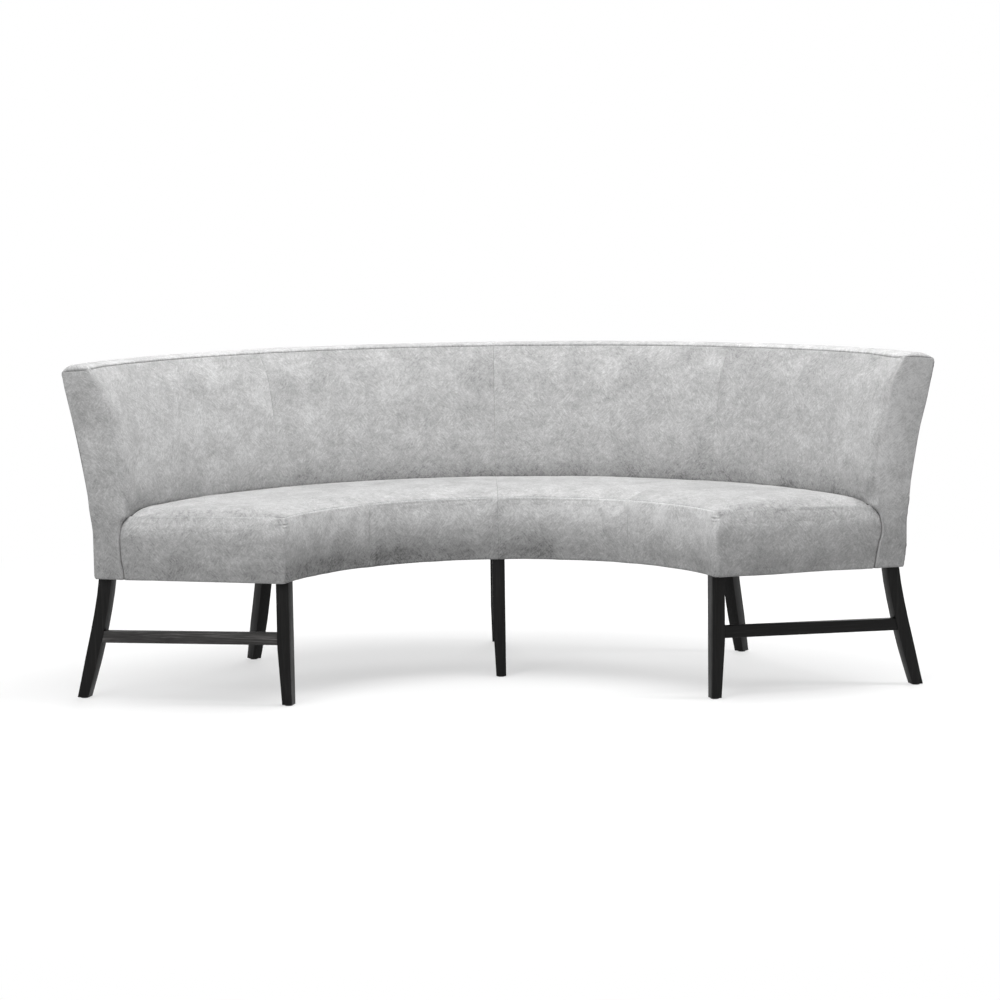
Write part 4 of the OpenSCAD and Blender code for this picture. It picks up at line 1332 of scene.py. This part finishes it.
# %% Finishes of the hidden parts
# Dark colour, light colour, scale, stretch, roughness, metal
HIDDEN = {
    "beech": ((0.46, 0.29, 0.16), (0.66, 0.47, 0.30), 30, (1, 1, 6), 0.55, 0.0),
    "plywood": ((0.50, 0.36, 0.21), (0.72, 0.58, 0.40), 24, (1, 1, 9), 0.6, 0.0),
    "steel": ((0.42, 0.42, 0.43), (0.62, 0.62, 0.63), 260, (1, 1, 1), 0.35, 1.0),
    "glide": ((0.020, 0.020, 0.021), (0.042, 0.042, 0.044), 190, (1, 1, 1), 0.42, 0.0),
    "foam": ((0.74, 0.66, 0.44), (0.88, 0.80, 0.58), 620, (1, 1, 1), 0.95, 0.0),
    "padding": ((0.76, 0.76, 0.74), (0.90, 0.90, 0.88), 340, (1, 1, 1), 0.95, 0.0),
    "dust_cloth": ((0.010, 0.010, 0.011), (0.022, 0.022, 0.023), 520, (1, 1, 1), 0.9, 0.0),
}
# Part of a node's name and the finish that it gets; the first one that fits counts
KINDS = (
    ("foot_glides", "glide"), ("end_rail_screws", "steel"), ("dust_cover", "dust_cloth"),
    ("front_padding", "padding"), ("_pad_", "padding"), ("foam", "foam"), ("board", "plywood"),
    ("top_rail", "plywood"), ("back_panel", "plywood"), ("rail", "beech"), ("corner_blocks", "beech"),
    ("frame_dowels", "beech"), ("cover", "padding"), ("boxing", "padding"), ("top_band", "padding"),
)


def hidden_finish(name, dark, light, scale, stretch, roughness, metal):
    f = Finish(name, "Object")
    pattern = f.noise(scale, 6.0, 0.6, 0.4, f.placed(stretch))
    f.bump(pattern, 0.0003, 0.4)
    return f.finish(f.ramp(pattern, (0.32, dark), (0.68, light)), roughness, Metallic=metal)


def dust_cloth_finish():
    f = Finish("dust_cloth_sheet", "fabric")
    dots = f.add("TexVoronoi", {}, {"Scale": 420.0, "Vector": f.place}).outputs["Distance"]
    pattern = f.blend((f.noise(700.0, 4.0, 0.7), 0.6), (dots, 0.6))
    f.bump(pattern, 0.0003, 0.5)
    return f.finish(f.ramp(pattern, (0.3, 0.007), (0.7, 0.022)), 0.88, Specular_IOR_Level=0.3)


finishes = {name: hidden_finish(name, *values) for name, values in HIDDEN.items()}
dust_cover.data.materials.append(dust_cloth_finish())
dressed = {}
for shown in [o for o in bpy.data.objects if "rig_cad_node" in o]:
    if shown.name in LEGS or shown.name.startswith("stretcher"):
        continue
    kind = next(finish for word, finish in KINDS if word in shown.name)
    dress(shown.name, finishes[kind])
    dressed[kind] = dressed.get(kind, 0) + 1
print("hidden parts:", dressed)

# %% [markdown]
# The photograph shows the bench on white with only a soft shadow under it. The floor is a large plane whose
# plain finish keeps the shadow, with some of its white added as light of its own that only the camera and
# clear reflections see. Further out that share grows to full white, so no horizon shows.

# %% Floor
WHITE = (1, 1, 1, 1)
FLOOR_SIZE, FLOOR_PAINT, FLOOR_LIT, FLOOR_GLOW = 60, 0.28, 0.36, 0.565
WHITENS_FROM, WHITE_AT = 1.3, 3.0


def white_rays(tree):
    """1 for the camera's rays and for clear reflections, which see the white background."""
    path = tree.add("LightPath", {}, {}).outputs
    rays = tree.sum("MAXIMUM", path["Is Camera Ray"], path["Is Glossy Ray"])
    return tree.sum("MAXIMUM", rays, path["Is Transmission Ray"])


def mix_shaders(tree, factor, a, b):
    return tree.add("MixShader", {}, {0: factor, 1: a, 2: b}).outputs[0]


bpy.ops.mesh.primitive_plane_add(size=FLOOR_SIZE, location=(0, 0, 0))
floor = bpy.context.object
floor.name = "floor"
f = Finish("floor", "Object")
f.finish((FLOOR_PAINT, FLOOR_PAINT, FLOOR_PAINT, 1), 1.0)
distance = f.add("VectorMath", {"operation": "LENGTH"}, {0: f.place}).outputs["Value"]
far = f.add("MapRange", {"interpolation_type": "SMOOTHSTEP"}, {
    "Value": distance, "From Min": WHITENS_FROM, "From Max": WHITE_AT, "To Min": 0.0, "To Max": 1.0,
}).outputs["Result"]
paint = f.add("BsdfDiffuse", {}, {"Color": (FLOOR_LIT, FLOOR_LIT, FLOOR_LIT, 1)}).outputs[0]
glow = f.add("Emission", {}, {"Strength": FLOOR_GLOW}).outputs[0]
white = f.add("Emission", {}, {"Strength": 1.0}).outputs[0]
seen = mix_shaders(f, far, f.add("AddShader", {}, {0: paint, 1: glow}).outputs[0], white)
surface = mix_shaders(f, white_rays(f), f.shader.outputs[0], seen)
f.fill(f.nodes["Material Output"].inputs["Surface"], surface)
floor.data.materials.append(f.material)
print("floor", round(floor.dimensions.x), "m wide")

# %% [markdown]
# Four soft lamps light the scene: a broad one overhead, a fill in front at the left, and a weak one behind,
# which lightens the top of the back. The fourth stands low at the right and lights only the floor, so that
# the legs and the seat keep their contact shadows without a second bright side.

# %% Lamps and surroundings
LAMPS = (
    ("overhead", (4.0, 3.0), 262, (0.3, -0.6, 5.2), (0, 0.05, 0.3)),
    ("front_fill", (2.8, 1.8), 98, (-3.1, -4.6, 3.0), (0, 0, 0.5)),
    ("behind", (2.6, 1.2), 45, (0.2, 2.8, 2.9), (0, 0.1, 0.7)),
    ("floor_grazing", (1.1, 1.1), 128, (5.2, -1.2, 2.4), (0, 0, 0.0)),
)
AROUND = 0.32
lamps = {}
for name, size, power, place, target in LAMPS:
    light = bpy.data.lights.new(name, "AREA")
    light.shape = "RECTANGLE"
    light.size, light.size_y = size
    light.energy = power
    lamp = lamps[name] = bpy.data.objects.new(name, light)
    lamp.location = place
    lamp.rotation_euler = (Vector(target) - Vector(place)).to_track_quat("-Z", "Y").to_euler()
    bpy.context.collection.objects.link(lamp)
floor_only = bpy.data.collections.new("floor_only")
floor_only.objects.link(floor)
lamps["floor_grazing"].light_linking.receiver_collection = floor_only

world = bpy.data.worlds.new("surroundings")
bpy.context.scene.world = world
sky = Nodes(world)
around = sky.nodes["Background"]
sky.fill(around.inputs["Color"], WHITE)
sky.fill(around.inputs["Strength"], AROUND)
background = sky.add("Background", {}, {"Color": WHITE, "Strength": 1.0})
surface = mix_shaders(sky, white_rays(sky), around.outputs[0], background.outputs[0])
sky.fill(sky.nodes["World Output"].inputs["Surface"], surface)
bpy.context.scene.view_settings.view_transform = "Standard"
print("lamps:", list(lamps))
